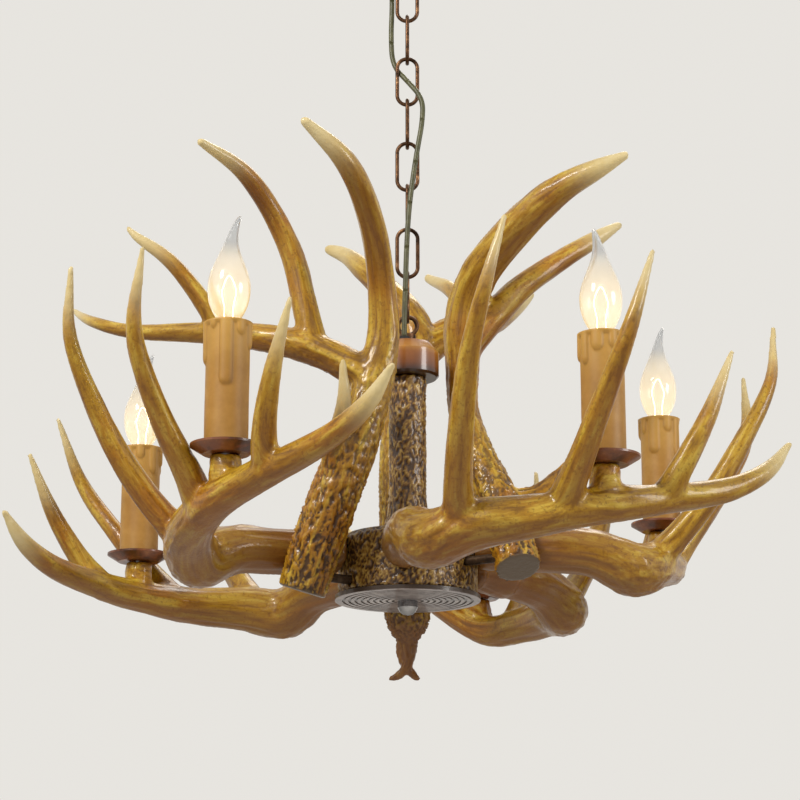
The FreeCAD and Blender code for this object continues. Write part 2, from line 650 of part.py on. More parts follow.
def tip(stations):
    """The rounded end of a beam or tine: a ball sunk a little into its last circle."""
    end = Vector(*stations[-1][:3])
    ahead = end - Vector(*stations[-2][:3])
    ahead.normalize()
    radius = stations[-1][3]
    return Part.makeSphere(radius, end - ahead * (TIP_SINK * radius))


def grown(branches):
    """One cast: every beam and tine with its rounded tip, joined one after another."""
    limbs = [branch(line).fuse(tip(line)) for line in branches]
    cast = limbs[0]
    for limb in limbs[1:]:
        cast = cast.fuse(limb)
    return cast


def seated(shape, level, twist=0.0, lift=0.0):
    """Moves a cast from its own frame to the lamp's, at azimuth 0, with z from the disc's top."""
    pivot = Vector(0, 0, TWIST_AXIS_RISE)
    moved = shape.copy()
    moved.rotate(pivot, Vector(1, 0, 0), twist)
    moved.translate(Vector(size("hub_radius"), 0, level + lift))
    return moved


def seat_point(twist, lift):
    """The middle of the candle tray's seat, at azimuth 0, with z from the disc's top."""
    pivot = Vector(0, 0, TWIST_AXIS_RISE)
    point = Rotation(Vector(1, 0, 0), twist).multVec(Vector(*CANDLE_SEAT) - pivot) + pivot
    return point + Vector(size("hub_radius"), 0, size("lower_bolt_level") + lift)


def bolt_hole(level, length):
    start = levels.hub_bore
    return Part.makeCylinder(levels.bolt_bore, length + size("bolt_play"), Vector(start, 0, level),
                             Vector(1, 0, 0))


def hub_room():
    """What the hub and its disc take out of an antler that reaches them."""
    gap = size("antler_clearance")
    height = size("hub_height") + size("disc_thickness") + 2 * gap
    return Part.makeCylinder(size("disc_radius") + gap, height, Vector(0, 0, -size("disc_thickness") - gap))


def lower_antlers():
    common = grown([LOWER_BEAM] + LOWER_TINES)
    turned_up = grown([TURNED_BEAM] + TURNED_TINES)
    level = size("lower_bolt_level")
    top = size("pedestal_radius")
    height = size("pedestal_height")
    for i, azimuth in enumerate(LOWER_AZIMUTHS):
        seat = seat_point(LOWER_TWISTS[i], LOWER_LIFTS[i])
        cast = turned_up if i == REAR_ANTLER else common
        antler = seated(cast, level, LOWER_TWISTS[i], LOWER_LIFTS[i])
        antler = antler.fuse(Part.makeCone(top + 2, top, height, seat - Vector(0, 0, height)))
        stud = Part.makeCylinder(levels.nipple_bore, size("stud_length") / 2, seat, Vector(0, 0, -1))
        tray_room = Part.makeCylinder(size("tray_radius") + size("antler_clearance"), size("tray_depth"), seat)
        antler = antler.cut([hub_room(), bolt_hole(level, size("lower_bolt_length")), stud, tray_room])
        place = Placement(Vector(0, 0, levels.disc_top), Rotation(Vector(0, 0, 1), azimuth))
        keep(feature("lower_antler", antler, place), "lower_antler_%d" % (i + 1))


def upper_antlers():
    root = branch(LOWER_BEAM[:5], size("antler_clearance"))
    for i, (azimuth, alias, lines) in enumerate(UPPER_ANTLERS):
        level = size(alias)
        antler = seated(grown(lines), level)
        tools = [hub_room(), bolt_hole(level, size("upper_bolt_length"))]
        for other, twist, lift in zip(LOWER_AZIMUTHS, LOWER_TWISTS, LOWER_LIFTS):
            tool = seated(root, size("lower_bolt_level"), twist, lift)
            tool.rotate(Vector(0, 0, 0), Vector(0, 0, 1), other - azimuth)
            tools.append(tool)
        antler = antler.cut(tools)
        place = Placement(Vector(0, 0, levels.disc_top), Rotation(Vector(0, 0, 1), azimuth))
        keep(feature("upper_antler", antler, place), "upper_antler_%d" % (i + 1))


# ---------------------------------------------------------------- candles and bulbs

GLASS_OUTLINE = [
    (0, 0.43, 0), (0.06, 0.5, 0), (0.14, 0.74, 0), (0.24, 0.94, 0), (0.34, 1, 0), (0.45, 0.93, 0),
    (0.56, 0.72, 0), (0.66, 0.5, 0.02), (0.76, 0.33, 0.08), (0.86, 0.22, 0.2), (0.94, 0.15, 0.34), (1, 0.07, 0.5)]
TIP_AZIMUTHS = [120.0, 40.0, 200.0, 20.0, 30.0]


def glass_loft(inset):
    """The flame shape with its bent tip: shares of the height, the radius and the tip's lean."""
    height = size("glass_height")
    radius = size("glass_radius")
    rings = []
    for up, wide, lean in GLASS_OUTLINE:
        middle = Vector(lean * radius, 0, up * (height - 2 * inset) + inset)
        around = max(wide * radius - inset, 0.3)
        rings.append(Part.Wire(Part.Circle(middle, Vector(0, 0, 1), around).toShape()))
    return Part.makeLoft(rings, True, False)


def candle(number, azimuth, twist, lift, tip_azimuth):
    """Tray, stud, sleeve and lampholder on one antler's seat; returns what is grouped."""
    seat = Rotation(Vector(0, 0, 1), azimuth).multVec(seat_point(twist, lift))
    x = "%.6f" % seat.x
    y = "%.6f" % seat.y
    z = "(Levels.disc_top + %.6f)" % seat.z
    floor = z + " + Sizes.tray_wall"
    keep(turned("tray", [
        ("Levels.nipple_bore", "0"),
        ("Sizes.sleeve_radius + 1", "0"),
        ("Sizes.tray_radius", "Sizes.tray_depth - Sizes.tray_wall"),
        ("Sizes.tray_radius", "Sizes.tray_depth"),
        ("Sizes.tray_radius - Sizes.tray_wall", "Sizes.tray_depth"),
        ("Sizes.sleeve_radius + 1", "Sizes.tray_wall"),
        ("Levels.nipple_bore", "Sizes.tray_wall")], z, x, y), "drip_tray_%d" % number)
    keep(turned("sleeve", [
        ("Sizes.sleeve_radius - Sizes.sleeve_wall", "0"),
        ("Sizes.sleeve_radius", "0"),
        ("Sizes.sleeve_radius", "Sizes.sleeve_height"),
        ("Sizes.holder_radius + Sizes.base_play", "Sizes.sleeve_height"),
        ("Sizes.holder_radius + Sizes.base_play", "Sizes.sleeve_height - Sizes.sleeve_wall"),
        ("Sizes.sleeve_radius - Sizes.sleeve_wall", "Sizes.sleeve_height - Sizes.sleeve_wall")],
        floor, x, y), "candle_sleeve_%d" % number)
    step = "Levels.holder_height - Sizes.base_height - Sizes.base_play"
    holder = turned("holder", [
        ("Levels.nipple_bore", "0"),
        ("Sizes.holder_radius", "0"),
        ("Sizes.holder_radius", "Levels.holder_height"),
        ("Levels.holder_bore", "Levels.holder_height"),
        ("Levels.holder_bore", step),
        ("Levels.nipple_bore", step)], floor, x, y)
    stud = cylinder("stud", "Sizes.nipple_radius", "Sizes.stud_length",
                    z + " - Sizes.stud_length / 2 + Sizes.nipple_play", x, y)
    rim = floor + " + Levels.holder_height"
    base = cylinder("base", "Sizes.base_radius", "Sizes.base_height", rim + " - Sizes.base_height", x, y)
    keep(base, "bulb_base_%d" % number)
    glass = glass_loft(0.0).cut(glass_loft(size("glass_wall")))
    height = levels.disc_top + seat.z + size("tray_wall") + levels.holder_height
    place = Placement(Vector(seat.x, seat.y, height), Rotation(Vector(0, 0, 1), tip_azimuth))
    keep(feature("glass", glass, place), "bulb_glass_%d" % number)
    return holder, stud


def candles():
    holders = []
    studs = []
    for i, azimuth in enumerate(LOWER_AZIMUTHS):
        holder, stud = candle(i + 1, azimuth, LOWER_TWISTS[i], LOWER_LIFTS[i], TIP_AZIMUTHS[i])
        holders.append(holder)
        studs.append(stud)
    keep(together("holder_group", holders), "lampholders")
    keep(together("stud_group", studs), "candle_studs")


# ---------------------------------------------------------------- the whole lamp

ceiling_bracket()
canopy()
chain_loops()
for number in range(1, LINKS + 1):
    chain_link(number)
keep(bush("canopy_bush", "Sizes.canopy_bush_x", "Sizes.canopy_bush_y", "Levels.canopy_bottom", -1),
     "canopy_cord_bush")
keep(bush("cap_bush", "Sizes.cap_bush_x", "Sizes.cap_bush_y", "Levels.cap_top", 1), "cap_cord_bush")
supply_cord()
stem_cap()
stem()
centre_rod()
cap_nut()
ring_disc()
hub()
wiring_block()
antler_bolts()
lower_antlers()
upper_antlers()
candles()
doc.recompute()

for obj in doc.Objects:
    if "Invalid" in obj.State or "Error" in obj.State:
        raise RuntimeError("%s failed: %s" % (obj.Name, obj.State))
for obj in exported:
    if obj.Shape.isNull() or not obj.Shape.isValid():
        raise RuntimeError("%s has no valid shape" % obj.Label)
for obj in exported:
    obj.Shape.exportStep("parts/%s.step" % obj.Label)
print("%d nodes" % len(exported))
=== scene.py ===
# Antler chandelier: five candles on cast antlers, hung on a chain.
from math import cos, pi, radians, sin

import bmesh
import bpy
import numpy as np
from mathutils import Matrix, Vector, noise


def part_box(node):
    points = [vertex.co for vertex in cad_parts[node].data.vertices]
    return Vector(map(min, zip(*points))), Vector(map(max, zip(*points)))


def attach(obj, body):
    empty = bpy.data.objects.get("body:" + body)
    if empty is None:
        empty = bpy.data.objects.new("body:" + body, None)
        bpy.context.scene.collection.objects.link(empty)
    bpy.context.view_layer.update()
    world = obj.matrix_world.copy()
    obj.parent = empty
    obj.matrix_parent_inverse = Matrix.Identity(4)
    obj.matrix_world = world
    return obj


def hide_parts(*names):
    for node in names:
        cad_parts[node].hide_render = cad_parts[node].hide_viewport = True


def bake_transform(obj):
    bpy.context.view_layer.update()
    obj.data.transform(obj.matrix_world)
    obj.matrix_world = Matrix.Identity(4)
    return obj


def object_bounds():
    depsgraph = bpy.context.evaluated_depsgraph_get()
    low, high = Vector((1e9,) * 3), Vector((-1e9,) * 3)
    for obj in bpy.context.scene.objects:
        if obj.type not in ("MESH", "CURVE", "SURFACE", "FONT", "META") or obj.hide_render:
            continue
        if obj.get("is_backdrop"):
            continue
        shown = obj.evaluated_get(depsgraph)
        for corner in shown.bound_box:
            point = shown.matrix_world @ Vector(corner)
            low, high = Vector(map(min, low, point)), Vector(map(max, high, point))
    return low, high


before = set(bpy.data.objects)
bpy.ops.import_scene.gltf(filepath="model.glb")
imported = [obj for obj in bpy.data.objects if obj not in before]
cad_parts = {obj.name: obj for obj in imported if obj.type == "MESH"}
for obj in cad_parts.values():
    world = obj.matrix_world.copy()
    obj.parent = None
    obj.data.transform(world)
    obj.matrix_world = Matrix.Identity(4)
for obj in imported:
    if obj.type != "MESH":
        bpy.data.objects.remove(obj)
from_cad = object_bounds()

# The camera stands low in front of the chandelier and looks up at it, as the
# photograph does, so the ceiling rose and the top of the chain are out of view.
view = bpy.data.objects.new("view", bpy.data.cameras.new("view"))
bpy.context.collection.objects.link(view)
view.location = (-0.006, -1.9859, -1.0254)
view.rotation_euler = (radians(104.53), 0, radians(0.025))
view.data.lens = 101.97
view.data.sensor_width = 36
bpy.context.scene.camera = view

# The studio: a pale floor well below, pale walls all round, a wide soft lamp
# high at the front left, a weaker one at the right and a rim lamp behind.
FLOOR_LEVEL = -1.6
PALE = (0.80, 0.78, 0.74, 1)


def fresh_finish(name):
    """A new material: its nodes, its links and its shader."""
    made = bpy.data.materials.new(name)
    made.use_nodes = True
    nodes = made.node_tree.nodes
    return made, nodes, made.node_tree.links, nodes["Principled BSDF"]


bpy.ops.object.select_all(action="DESELECT")
bpy.ops.mesh.primitive_plane_add(size=9, location=(0, 0, FLOOR_LEVEL))
floor = bpy.context.object
floor.name = "studio_floor"
pale_floor, nodes, links, shader = fresh_finish("pale floor")
shader.inputs["Base Color"].default_value = PALE
shader.inputs["Roughness"].default_value = 0.9
seen_by = nodes.new("ShaderNodeLightPath")
brighter = nodes.new("ShaderNodeMix")
brighter.data_type = "RGBA"
brighter.inputs["A"].default_value = (0, 0, 0, 1)
brighter.inputs["B"].default_value = (0.42, 0.41, 0.385, 1)
links.new(seen_by.outputs["Is Camera Ray"], brighter.inputs["Factor"])
links.new(brighter.outputs["Result"], shader.inputs["Emission Color"])
shader.inputs["Emission Strength"].default_value = 1.0
floor.data.materials.append(pale_floor)
floor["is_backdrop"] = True

walls = bpy.data.worlds.new("pale walls")
bpy.context.scene.world = walls
walls.use_nodes = True
nodes, links = walls.node_tree.nodes, walls.node_tree.links
seen = nodes["Background"]
seen.inputs["Color"].default_value = PALE
seen.inputs["Strength"].default_value = 1.0
fill = nodes.new("ShaderNodeBackground")
fill.inputs["Color"].default_value = (1.0, 0.97, 0.92, 1)
fill.inputs["Strength"].default_value = 0.30
ray = nodes.new("ShaderNodeLightPath")
either = nodes.new("ShaderNodeMath")
either.operation = "MAXIMUM"
links.new(ray.outputs["Is Camera Ray"], either.inputs[0])
links.new(ray.outputs["Is Glossy Ray"], either.inputs[1])
any_of = nodes.new("ShaderNodeMath")
any_of.operation = "MAXIMUM"
links.new(either.outputs[0], any_of.inputs[0])
links.new(ray.outputs["Is Transmission Ray"], any_of.inputs[1])
mix = nodes.new("ShaderNodeMixShader")
links.new(any_of.outputs[0], mix.inputs["Fac"])
links.new(fill.outputs[0], mix.inputs[1])
links.new(seen.outputs[0], mix.inputs[2])
links.new(mix.outputs[0], nodes["World Output"].inputs["Surface"])
bpy.context.scene.view_settings.view_transform = "Standard"

for name, place, size, power, warmth in (
    ("key_lamp", (-1.3, -1.5, 0.8), 0.7, 38, (1.0, 0.95, 0.88)),
    ("side_lamp", (1.7, -0.9, -0.1), 0.7, 13, (1.0, 0.96, 0.92)),
    ("rim_lamp", (0.6, 1.4, 1.4), 1.0, 14, (1.0, 0.92, 0.82)),
):
    lamp = bpy.data.objects.new(name, bpy.data.lights.new(name, "AREA"))
    bpy.context.collection.objects.link(lamp)
    lamp.location = place
    lamp.rotation_euler = (Vector((0, 0, -0.5)) - Vector(place)).to_track_quat("-Z", "Y").to_euler()
    lamp.data.shape = "DISK"
    lamp.data.size = size
    lamp.data.energy = power
    lamp.data.color = warmth

# The supply cord: one olive-green round cord of 4.8 mm that leaves the rose,
# winds loosely down through the chain and goes into the bush on the cap. The
# chain folds at every link, so its sleeve of mesh is split half-way down each.
CORD_DIAMETER = 0.0048
LINK_PITCH = 0.0423
FIRST_LINK = -0.0751
CORD_ROUTE = [
    (-0.018, 0.006, -0.033), (-0.018, 0.006, -0.057), (-0.016, 0.007, -0.0826), (-0.014, 0.0065, -0.1166),
    (-0.0155, 0.0075, -0.1526), (-0.014, 0.008, -0.1826), (0.001, -0.001, -0.2026), (0.0145, -0.009, -0.2226),
    (0.014, -0.0125, -0.2466), (0.0095, -0.0135, -0.2726), (0.005, -0.0145, -0.3026), (0.001, -0.0155, -0.3366),
    (-0.001, -0.0158, -0.3746), (-0.002, -0.0155, -0.4106), (-0.003, -0.0145, -0.4386), (-0.003, -0.0145, -0.4556),
]

cord_curve = bpy.data.curves.new("cord_line", "CURVE")
cord_curve.dimensions = "3D"
line = cord_curve.splines.new("NURBS")
line.points.add(len(CORD_ROUTE) - 1)
for point, place in zip(line.points, CORD_ROUTE):
    point.co = (*place, 1)
line.order_u = 3
line.use_endpoint_u = True
line.resolution_u = 12
cord_line = bpy.data.objects.new("cord_line", cord_curve)
bpy.context.collection.objects.link(cord_line)
bpy.context.view_layer.update()
traced = bpy.data.meshes.new_from_object(cord_line)
middle = [v.co.copy() for v in traced.vertices]
bpy.data.objects.remove(cord_line)

olive_cord, nodes, links, shader = fresh_finish("olive cord sheath")
place = nodes.new("ShaderNodeTexCoord")
mottle = nodes.new("ShaderNodeTexNoise")
mottle.inputs["Scale"].default_value = 160
mottle.inputs["Detail"].default_value = 4
links.new(place.outputs["Object"], mottle.inputs["Vector"])
shade = nodes.new("ShaderNodeValToRGB")
shade.color_ramp.elements[0].position, shade.color_ramp.elements[0].color = 0.35, (0.060, 0.062, 0.022, 1)
shade.color_ramp.elements[1].position, shade.color_ramp.elements[1].color = 0.70, (0.125, 0.125, 0.055, 1)
links.new(mottle.outputs["Fac"], shade.inputs["Fac"])
links.new(shade.outputs["Color"], shader.inputs["Base Color"])
bump = nodes.new("ShaderNodeBump")
bump.inputs["Strength"].default_value = 0.15
bump.inputs["Distance"].default_value = 0.0004
links.new(mottle.outputs["Fac"], bump.inputs["Height"])
links.new(bump.outputs["Normal"], shader.inputs["Normal"])
shader.inputs["Roughness"].default_value = 0.42

across = []
side = Vector((1, 0, 0))
for k, here in enumerate(middle):
    along = (middle[min(k + 1, len(middle) - 1)] - middle[max(k - 1, 0)]).normalized()
    side = (side - along * side.dot(along)).normalized()
    across.append((side.copy(), along.cross(side)))
folds = [FIRST_LINK - k * LINK_PITCH for k in range(9)]
cuts = [0] + [min(range(len(middle)), key=lambda k: abs(middle[k].z - z)) for z in folds] + [len(middle) - 1]
for k in range(10):
    first, last = cuts[k], cuts[k + 1]
    made = bmesh.new()
    rings = []
    for at in range(first, last + 1):
        right, up = across[at]
        rings.append([made.verts.new(middle[at] + (right * cos(a) + up * sin(a)) * CORD_DIAMETER / 2)
                      for a in (2 * pi * n / 16 for n in range(16))])
    for low, high in zip(rings, rings[1:]):
        for n in range(16):
            made.faces.new((low[n], low[(n + 1) % 16], high[(n + 1) % 16], high[n]))
    made.faces.new(rings[0][::-1])
    made.faces.new(rings[-1])
    bmesh.ops.recalc_face_normals(made, faces=made.faces)
    for face in made.faces:
        face.smooth = len(face.verts) == 4
    sheath = bpy.data.meshes.new(f"cord_{k + 1:02d}")
    made.to_mesh(sheath)
    made.free()
    stretch = bpy.data.objects.new(f"cord_{k + 1:02d}", sheath)
    bpy.context.collection.objects.link(stretch)
    sheath.materials.append(olive_cord)
    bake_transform(stretch)
    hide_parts("power_cord")

# The chain and its fixings: welded steel links, the two collars with their
# rings and the canopy's screws, all in antique bronze rubbed bright on the
# bends. Every link is the CAD's own link; only the finish is made here.


def noise_of(nodes, links, where, scale, detail=4.0, stretch=None):
    """A noise texture at where; stretch is a Mapping scale of it."""
    if stretch:
        turned = nodes.new("ShaderNodeMapping")
        turned.inputs["Scale"].default_value = stretch
        links.new(where, turned.inputs["Vector"])
        where = turned.outputs["Vector"]
    made = nodes.new("ShaderNodeTexNoise")
    made.inputs["Scale"].default_value = scale
    made.inputs["Detail"].default_value = detail
    made.inputs["Roughness"].default_value = 0.6
    links.new(where, made.inputs["Vector"])
    return made.outputs["Fac"]


def shades(nodes, links, value, *stops):
    """A colour ramp over value; each stop is (place, colour)."""
    ramp = nodes.new("ShaderNodeValToRGB")
    while len(ramp.color_ramp.elements) < len(stops):
        ramp.color_ramp.elements.new(0.5)
    for element, (place, colour) in zip(ramp.color_ramp.elements, stops):
        element.position = place
        element.color = (*colour, 1)
    links.new(value, ramp.inputs["Fac"])
    return ramp.outputs["Color"]


def relief(nodes, links, shader, height, depth, strength=0.6):
    """A bump of that depth on the shader."""
    made = nodes.new("ShaderNodeBump")
    made.inputs["Strength"].default_value = strength
    made.inputs["Distance"].default_value = depth
    links.new(height, made.inputs["Height"])
    links.new(made.outputs["Normal"], shader.inputs["Normal"])
    return made


# The mottling that every plain finish here shares: three shades in soft clouds, a
# finer grain for the bump, and a gloss that varies with that grain.
mottling = bpy.data.node_groups.new("mottling", "ShaderNodeTree")
for name, kind, value in (("Scale", "NodeSocketFloat", 90), ("Stretch", "NodeSocketVector", (1, 1, 1)),
                          ("Dark", "NodeSocketColor", (0, 0, 0, 1)), ("Middle", "NodeSocketColor", (0, 0, 0, 1)),
                          ("Light", "NodeSocketColor", (0, 0, 0, 1)), ("Smoothest", "NodeSocketFloat", 0.3),
                          ("Roughest", "NodeSocketFloat", 0.5)):
    mottling.interface.new_socket(name, in_out="INPUT", socket_type=kind).default_value = value
for name, kind in (("Colour", "NodeSocketColor"), ("Grain", "NodeSocketFloat"), ("Gloss", "NodeSocketFloat")):
    mottling.interface.new_socket(name, in_out="OUTPUT", socket_type=kind)


def ranged(nodes, links, value, low, high, to_low=0.0, to_high=1.0):
    """value brought from the range low to high into to_low to to_high, eased."""
    made = nodes.new("ShaderNodeMapRange")
    made.interpolation_type = "SMOOTHSTEP"
    for name, number in (("From Min", low), ("From Max", high), ("To Min", to_low), ("To Max", to_high)):
        if isinstance(number, (float, int)):
            made.inputs[name].default_value = number
        else:
            links.new(number, made.inputs[name])
    links.new(value, made.inputs["Value"])
    return made.outputs["Result"]


def layered(nodes, links, factor, below, above, kind="MIX"):
    """One colour over another."""
    made = nodes.new("ShaderNodeMix")
    made.data_type, made.blend_type = "RGBA", kind
    for value, socket in ((factor, made.inputs["Factor"]), (below, made.inputs["A"]), (above, made.inputs["B"])):
        if isinstance(value, (float, int)):
            socket.default_value = value
        elif isinstance(value, tuple):
            socket.default_value = (*value, 1)
        else:
            links.new(value, socket)
    return made.outputs["Result"]


nodes, links = mottling.nodes, mottling.links
given, result = nodes.new("NodeGroupInput"), nodes.new("NodeGroupOutput")
pulled = nodes.new("ShaderNodeVectorMath")
pulled.operation = "MULTIPLY"
links.new(nodes.new("ShaderNodeTexCoord").outputs["Object"], pulled.inputs[0])
links.new(given.outputs["Stretch"], pulled.inputs[1])
cloud = noise_of(nodes, links, pulled.outputs[0], 1, 5)
links.new(given.outputs["Scale"], cloud.node.inputs["Scale"])
finer = nodes.new("ShaderNodeMath")
finer.operation = "MULTIPLY"
finer.inputs[1].default_value = 6
links.new(given.outputs["Scale"], finer.inputs[0])
grit = noise_of(nodes, links, pulled.outputs[0], 1, 3)
links.new(finer.outputs[0], grit.node.inputs["Scale"])
tone = layered(nodes, links, ranged(nodes, links, cloud, 0.36, 0.53), given.outputs["Dark"], given.outputs["Middle"])
links.new(layered(nodes, links, ranged(nodes, links, cloud, 0.53, 0.72), tone, given.outputs["Light"]),
          result.inputs["Colour"])
links.new(grit, result.inputs["Grain"])
links.new(ranged(nodes, links, grit, 0.25, 0.75, given.outputs["Smoothest"], given.outputs["Roughest"]),
          result.inputs["Gloss"])


def mottled(name, scale, dark, middle, light, rough, depth, metal=0.0, coat=0.0, stretch=(1, 1, 1)):
    """A finish of mottled shades, with a bump of that depth and an uneven gloss."""
    made, nodes, links, shader = fresh_finish(name)
    clouds = nodes.new("ShaderNodeGroup")
    clouds.node_tree = mottling
    clouds.inputs["Scale"].default_value = scale
    clouds.inputs["Stretch"].default_value = stretch
    for socket, colour in (("Dark", dark), ("Middle", middle), ("Light", light)):
        clouds.inputs[socket].default_value = (*colour, 1)
    clouds.inputs["Smoothest"].default_value, clouds.inputs["Roughest"].default_value = rough
    links.new(clouds.outputs["Colour"], shader.inputs["Base Color"])
    links.new(clouds.outputs["Gloss"], shader.inputs["Roughness"])
    relief(nodes, links, shader, clouds.outputs["Grain"], depth)
    shader.inputs["Metallic"].default_value = metal
    shader.inputs["Coat Weight"].default_value = coat
    shader.inputs["Coat Roughness"].default_value = 0.12
    return made


def dress(finish, *names):
    """Gives CAD nodes their finish."""
    for name in names:
        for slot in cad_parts[name].material_slots:
            slot.material = finish


antique_bronze = mottled("antique bronze", 90, (0.030, 0.017, 0.010), (0.115, 0.058, 0.030), (0.34, 0.19, 0.095),
                         (0.28, 0.55), 0.0004, metal=0.9)
dress(antique_bronze, *[f"chain_link_{k:02d}" for k in range(1, 10)], "canopy_loop", "hanging_loop", "canopy_screws")

# The ceiling rose: a spun steel canopy in bronze paint over a zinc-plated strap,
# with a rubber bush where the cord comes through, and one like it on the cap.
bronze_paint = mottled("bronze paint", 40, (0.050, 0.026, 0.014), (0.095, 0.050, 0.026), (0.17, 0.09, 0.045),
                       (0.30, 0.45), 0.0002, metal=0.35, coat=0.3)
dress(bronze_paint, "canopy")
zinc_plate = mottled("zinc plate", 120, (0.45, 0.45, 0.46), (0.60, 0.61, 0.63), (0.72, 0.73, 0.75),
                     (0.30, 0.50), 0.0001, metal=0.95)
dress(zinc_plate, "ceiling_bracket", "candle_studs", "centre_rod", "rod_nut_and_washer")
black_rubber = mottled("black rubber", 200, (0.012, 0.012, 0.011), (0.018, 0.018, 0.017), (0.030, 0.029, 0.027),
                       (0.55, 0.80), 0.0001)
dress(black_rubber, "canopy_cord_bush", "cap_cord_bush")

# The cap of the stem: a pressed cup in clear-lacquered chestnut brown, darkened
# towards its rim by painted shade and lightened by a painted highlight band high
# up, and the bright domed nut and white wiring block of the hub.
chestnut, nodes, links, shader = fresh_finish("chestnut lacquer")
place = nodes.new("ShaderNodeTexCoord").outputs["Object"]
split = nodes.new("ShaderNodeSeparateXYZ")
links.new(place, split.inputs["Vector"])
cap_foot, cap_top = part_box("stem_cap")[0][2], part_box("stem_cap")[1][2]
# painted shade and painted highlight: by height the cup runs from near black at its foot up to a bright band, then a
# little darker at its top
painted_light_level = nodes.new("ShaderNodeMapRange")
painted_light_level.inputs["From Min"].default_value, painted_light_level.inputs["From Max"].default_value = cap_foot, cap_top
links.new(split.outputs["Z"], painted_light_level.inputs["Value"])
tone = shades(nodes, links, painted_light_level.outputs["Result"], (0.0, (0.030, 0.010, 0.003)), (0.10, (0.070, 0.020, 0.005)),
              (0.26, (0.24, 0.070, 0.010)), (0.58, (0.40, 0.135, 0.016)), (0.72, (0.58, 0.27, 0.045)),
              (1.0, (0.36, 0.13, 0.02)))
cloud = noise_of(nodes, links, place, 45, 3)
clouded = shades(nodes, links, cloud, (0.35, (0.55, 0.50, 0.45)), (0.65, (1, 1, 1)))
links.new(layered(nodes, links, 0.55, tone, clouded, "MULTIPLY"), shader.inputs["Base Color"])
relief(nodes, links, shader, noise_of(nodes, links, place, 300, 2), 0.0001, 0.3)
shader.inputs["Roughness"].default_value = 0.34
shader.inputs["Coat Weight"].default_value = 0.6
shader.inputs["Coat Roughness"].default_value = 0.08
dress(chestnut, "stem_cap")
bright_chrome = mottled("bright chrome", 60, (0.20, 0.20, 0.21), (0.32, 0.32, 0.33), (0.50, 0.50, 0.51), (0.08, 0.20),
                        0.00005, metal=1.0)
dress(bright_chrome, "cap_nut")
white_ceramic = mottled("white ceramic", 90, (0.70, 0.68, 0.64), (0.76, 0.74, 0.71), (0.82, 0.80, 0.77),
                        (0.35, 0.5), 0.0001)
dress(white_ceramic, "terminal_block", "lampholders")

# The eight antlers: casts of resin in the shapes of shed antlers, painted gold
# and brown along the grain, ivory at the tips and lacquered. They bolt to the
# hub by their rough butts. Each line below runs along a beam or a tine.
LOWER_BEAM = [(-3, -2, 3, 20), (53, -2, -1, 20), (101, 5, -4, 21), (136, 17, -18, 24), (154, 50, -10, 21),
              (163, 99, -4, 17.5), (157, 153, 5, 15), (136, 208, 15, 12.5), (107, 265, 30, 10), (88, 299, 50, 7.5),
              (76, 320, 75, 3)]
FRONT_TINE = [(151, 40, -10, 15), (179, 39, 18, 12), (210, 41, 56, 10.5), (241, 47, 109, 8.5), (263, 59, 158, 6),
              (267, 74, 211, 2.5)]
LOWER_LINES = [LOWER_BEAM, FRONT_TINE,
               [(163, 119, 0, 14), (180, 132, 27, 12), (210, 149, 71, 9.5), (237, 171, 128, 7), (237, 191, 192, 2.5)],
               [(138, 208, 19, 12), (145, 222, 43, 10), (146, 243, 83, 7.5), (139, 265, 138, 2.5)]]
TURNED_LINES = [LOWER_BEAM[:7] + [(140, 205, 50, 12), (118, 250, 95, 9.5), (100, 280, 140, 6), (94, 288, 160, 3)],
                FRONT_TINE,
                [(163, 119, 0, 14), (184, 124, 27, 12), (214, 133, 71, 9.5), (242, 146, 130, 7), (258, 156, 190, 2.5)],
                [(141, 203, 48, 12), (149, 218, 76, 10), (151, 235, 114, 7.5), (147, 250, 160, 2.5)]]
LEFT_LINES = [
    [(48, 0, -15, 21), (40, 12, 27, 22.5), (29, 26, 74, 22), (14, 36, 122, 20), (3, 44, 170, 17.5),
     (-2, 50, 208, 14.5), (6, 59, 256, 12.5), (32, 82, 301, 11.5), (74, 107, 338, 10), (119, 111, 365, 4.5)],
    [(4, 43, 170, 16), (31, 18, 193, 15), (55, -3, 205, 14), (75, -25, 213, 12.5), (110, -78, 225, 9.5),
     (148, -139, 235, 7), (167, -180, 251, 5.5), (170, -222, 273, 2.5)],
    [(42, 6, 203, 13), (48, 0, 240, 11.5), (57, -6, 285, 10.5), (78, -8, 325, 9.5), (116, 3, 353, 8),
     (165, 14, 367, 4)],
    [(98, -60, 223, 10), (118, -68, 256, 8.5), (142, -79, 287, 7), (161, -89, 303, 5.5), (176, -98, 318, 2.5)],
    [(32, 25, 70, 14), (40, 39, 105, 10), (41, 54, 140, 7), (47, 62, 177, 3)]]
RIGHT_LINES = [
    [(49, 1, -11, 20), (33, 13, 27, 19.5), (14, 23, 65, 18), (-7, 29, 105, 15.5), (-23, 34, 147, 14),
     (-27, 39, 185, 15.5), (-26, 39, 217, 18), (-19, 36, 248, 18), (-1, 28, 273, 17.5), (27, 21, 294, 16.5),
     (59, 15, 315, 15.5), (92, 15, 333, 13), (124, 18, 345, 9.5), (152, 23, 355, 4)],
    [(-26, 40, 205, 15), (-6, 56, 237, 14), (15, 75, 267, 12), (42, 106, 299, 10), (65, 133, 323, 8),
     (81, 152, 340, 4)],
    [(18, 23, 54, 13), (42, 40, 60, 10), (61, 54, 76, 8.5), (78, 67, 96, 7), (97, 81, 111, 5.5),
     (111, 92, 120, 2.5)]]
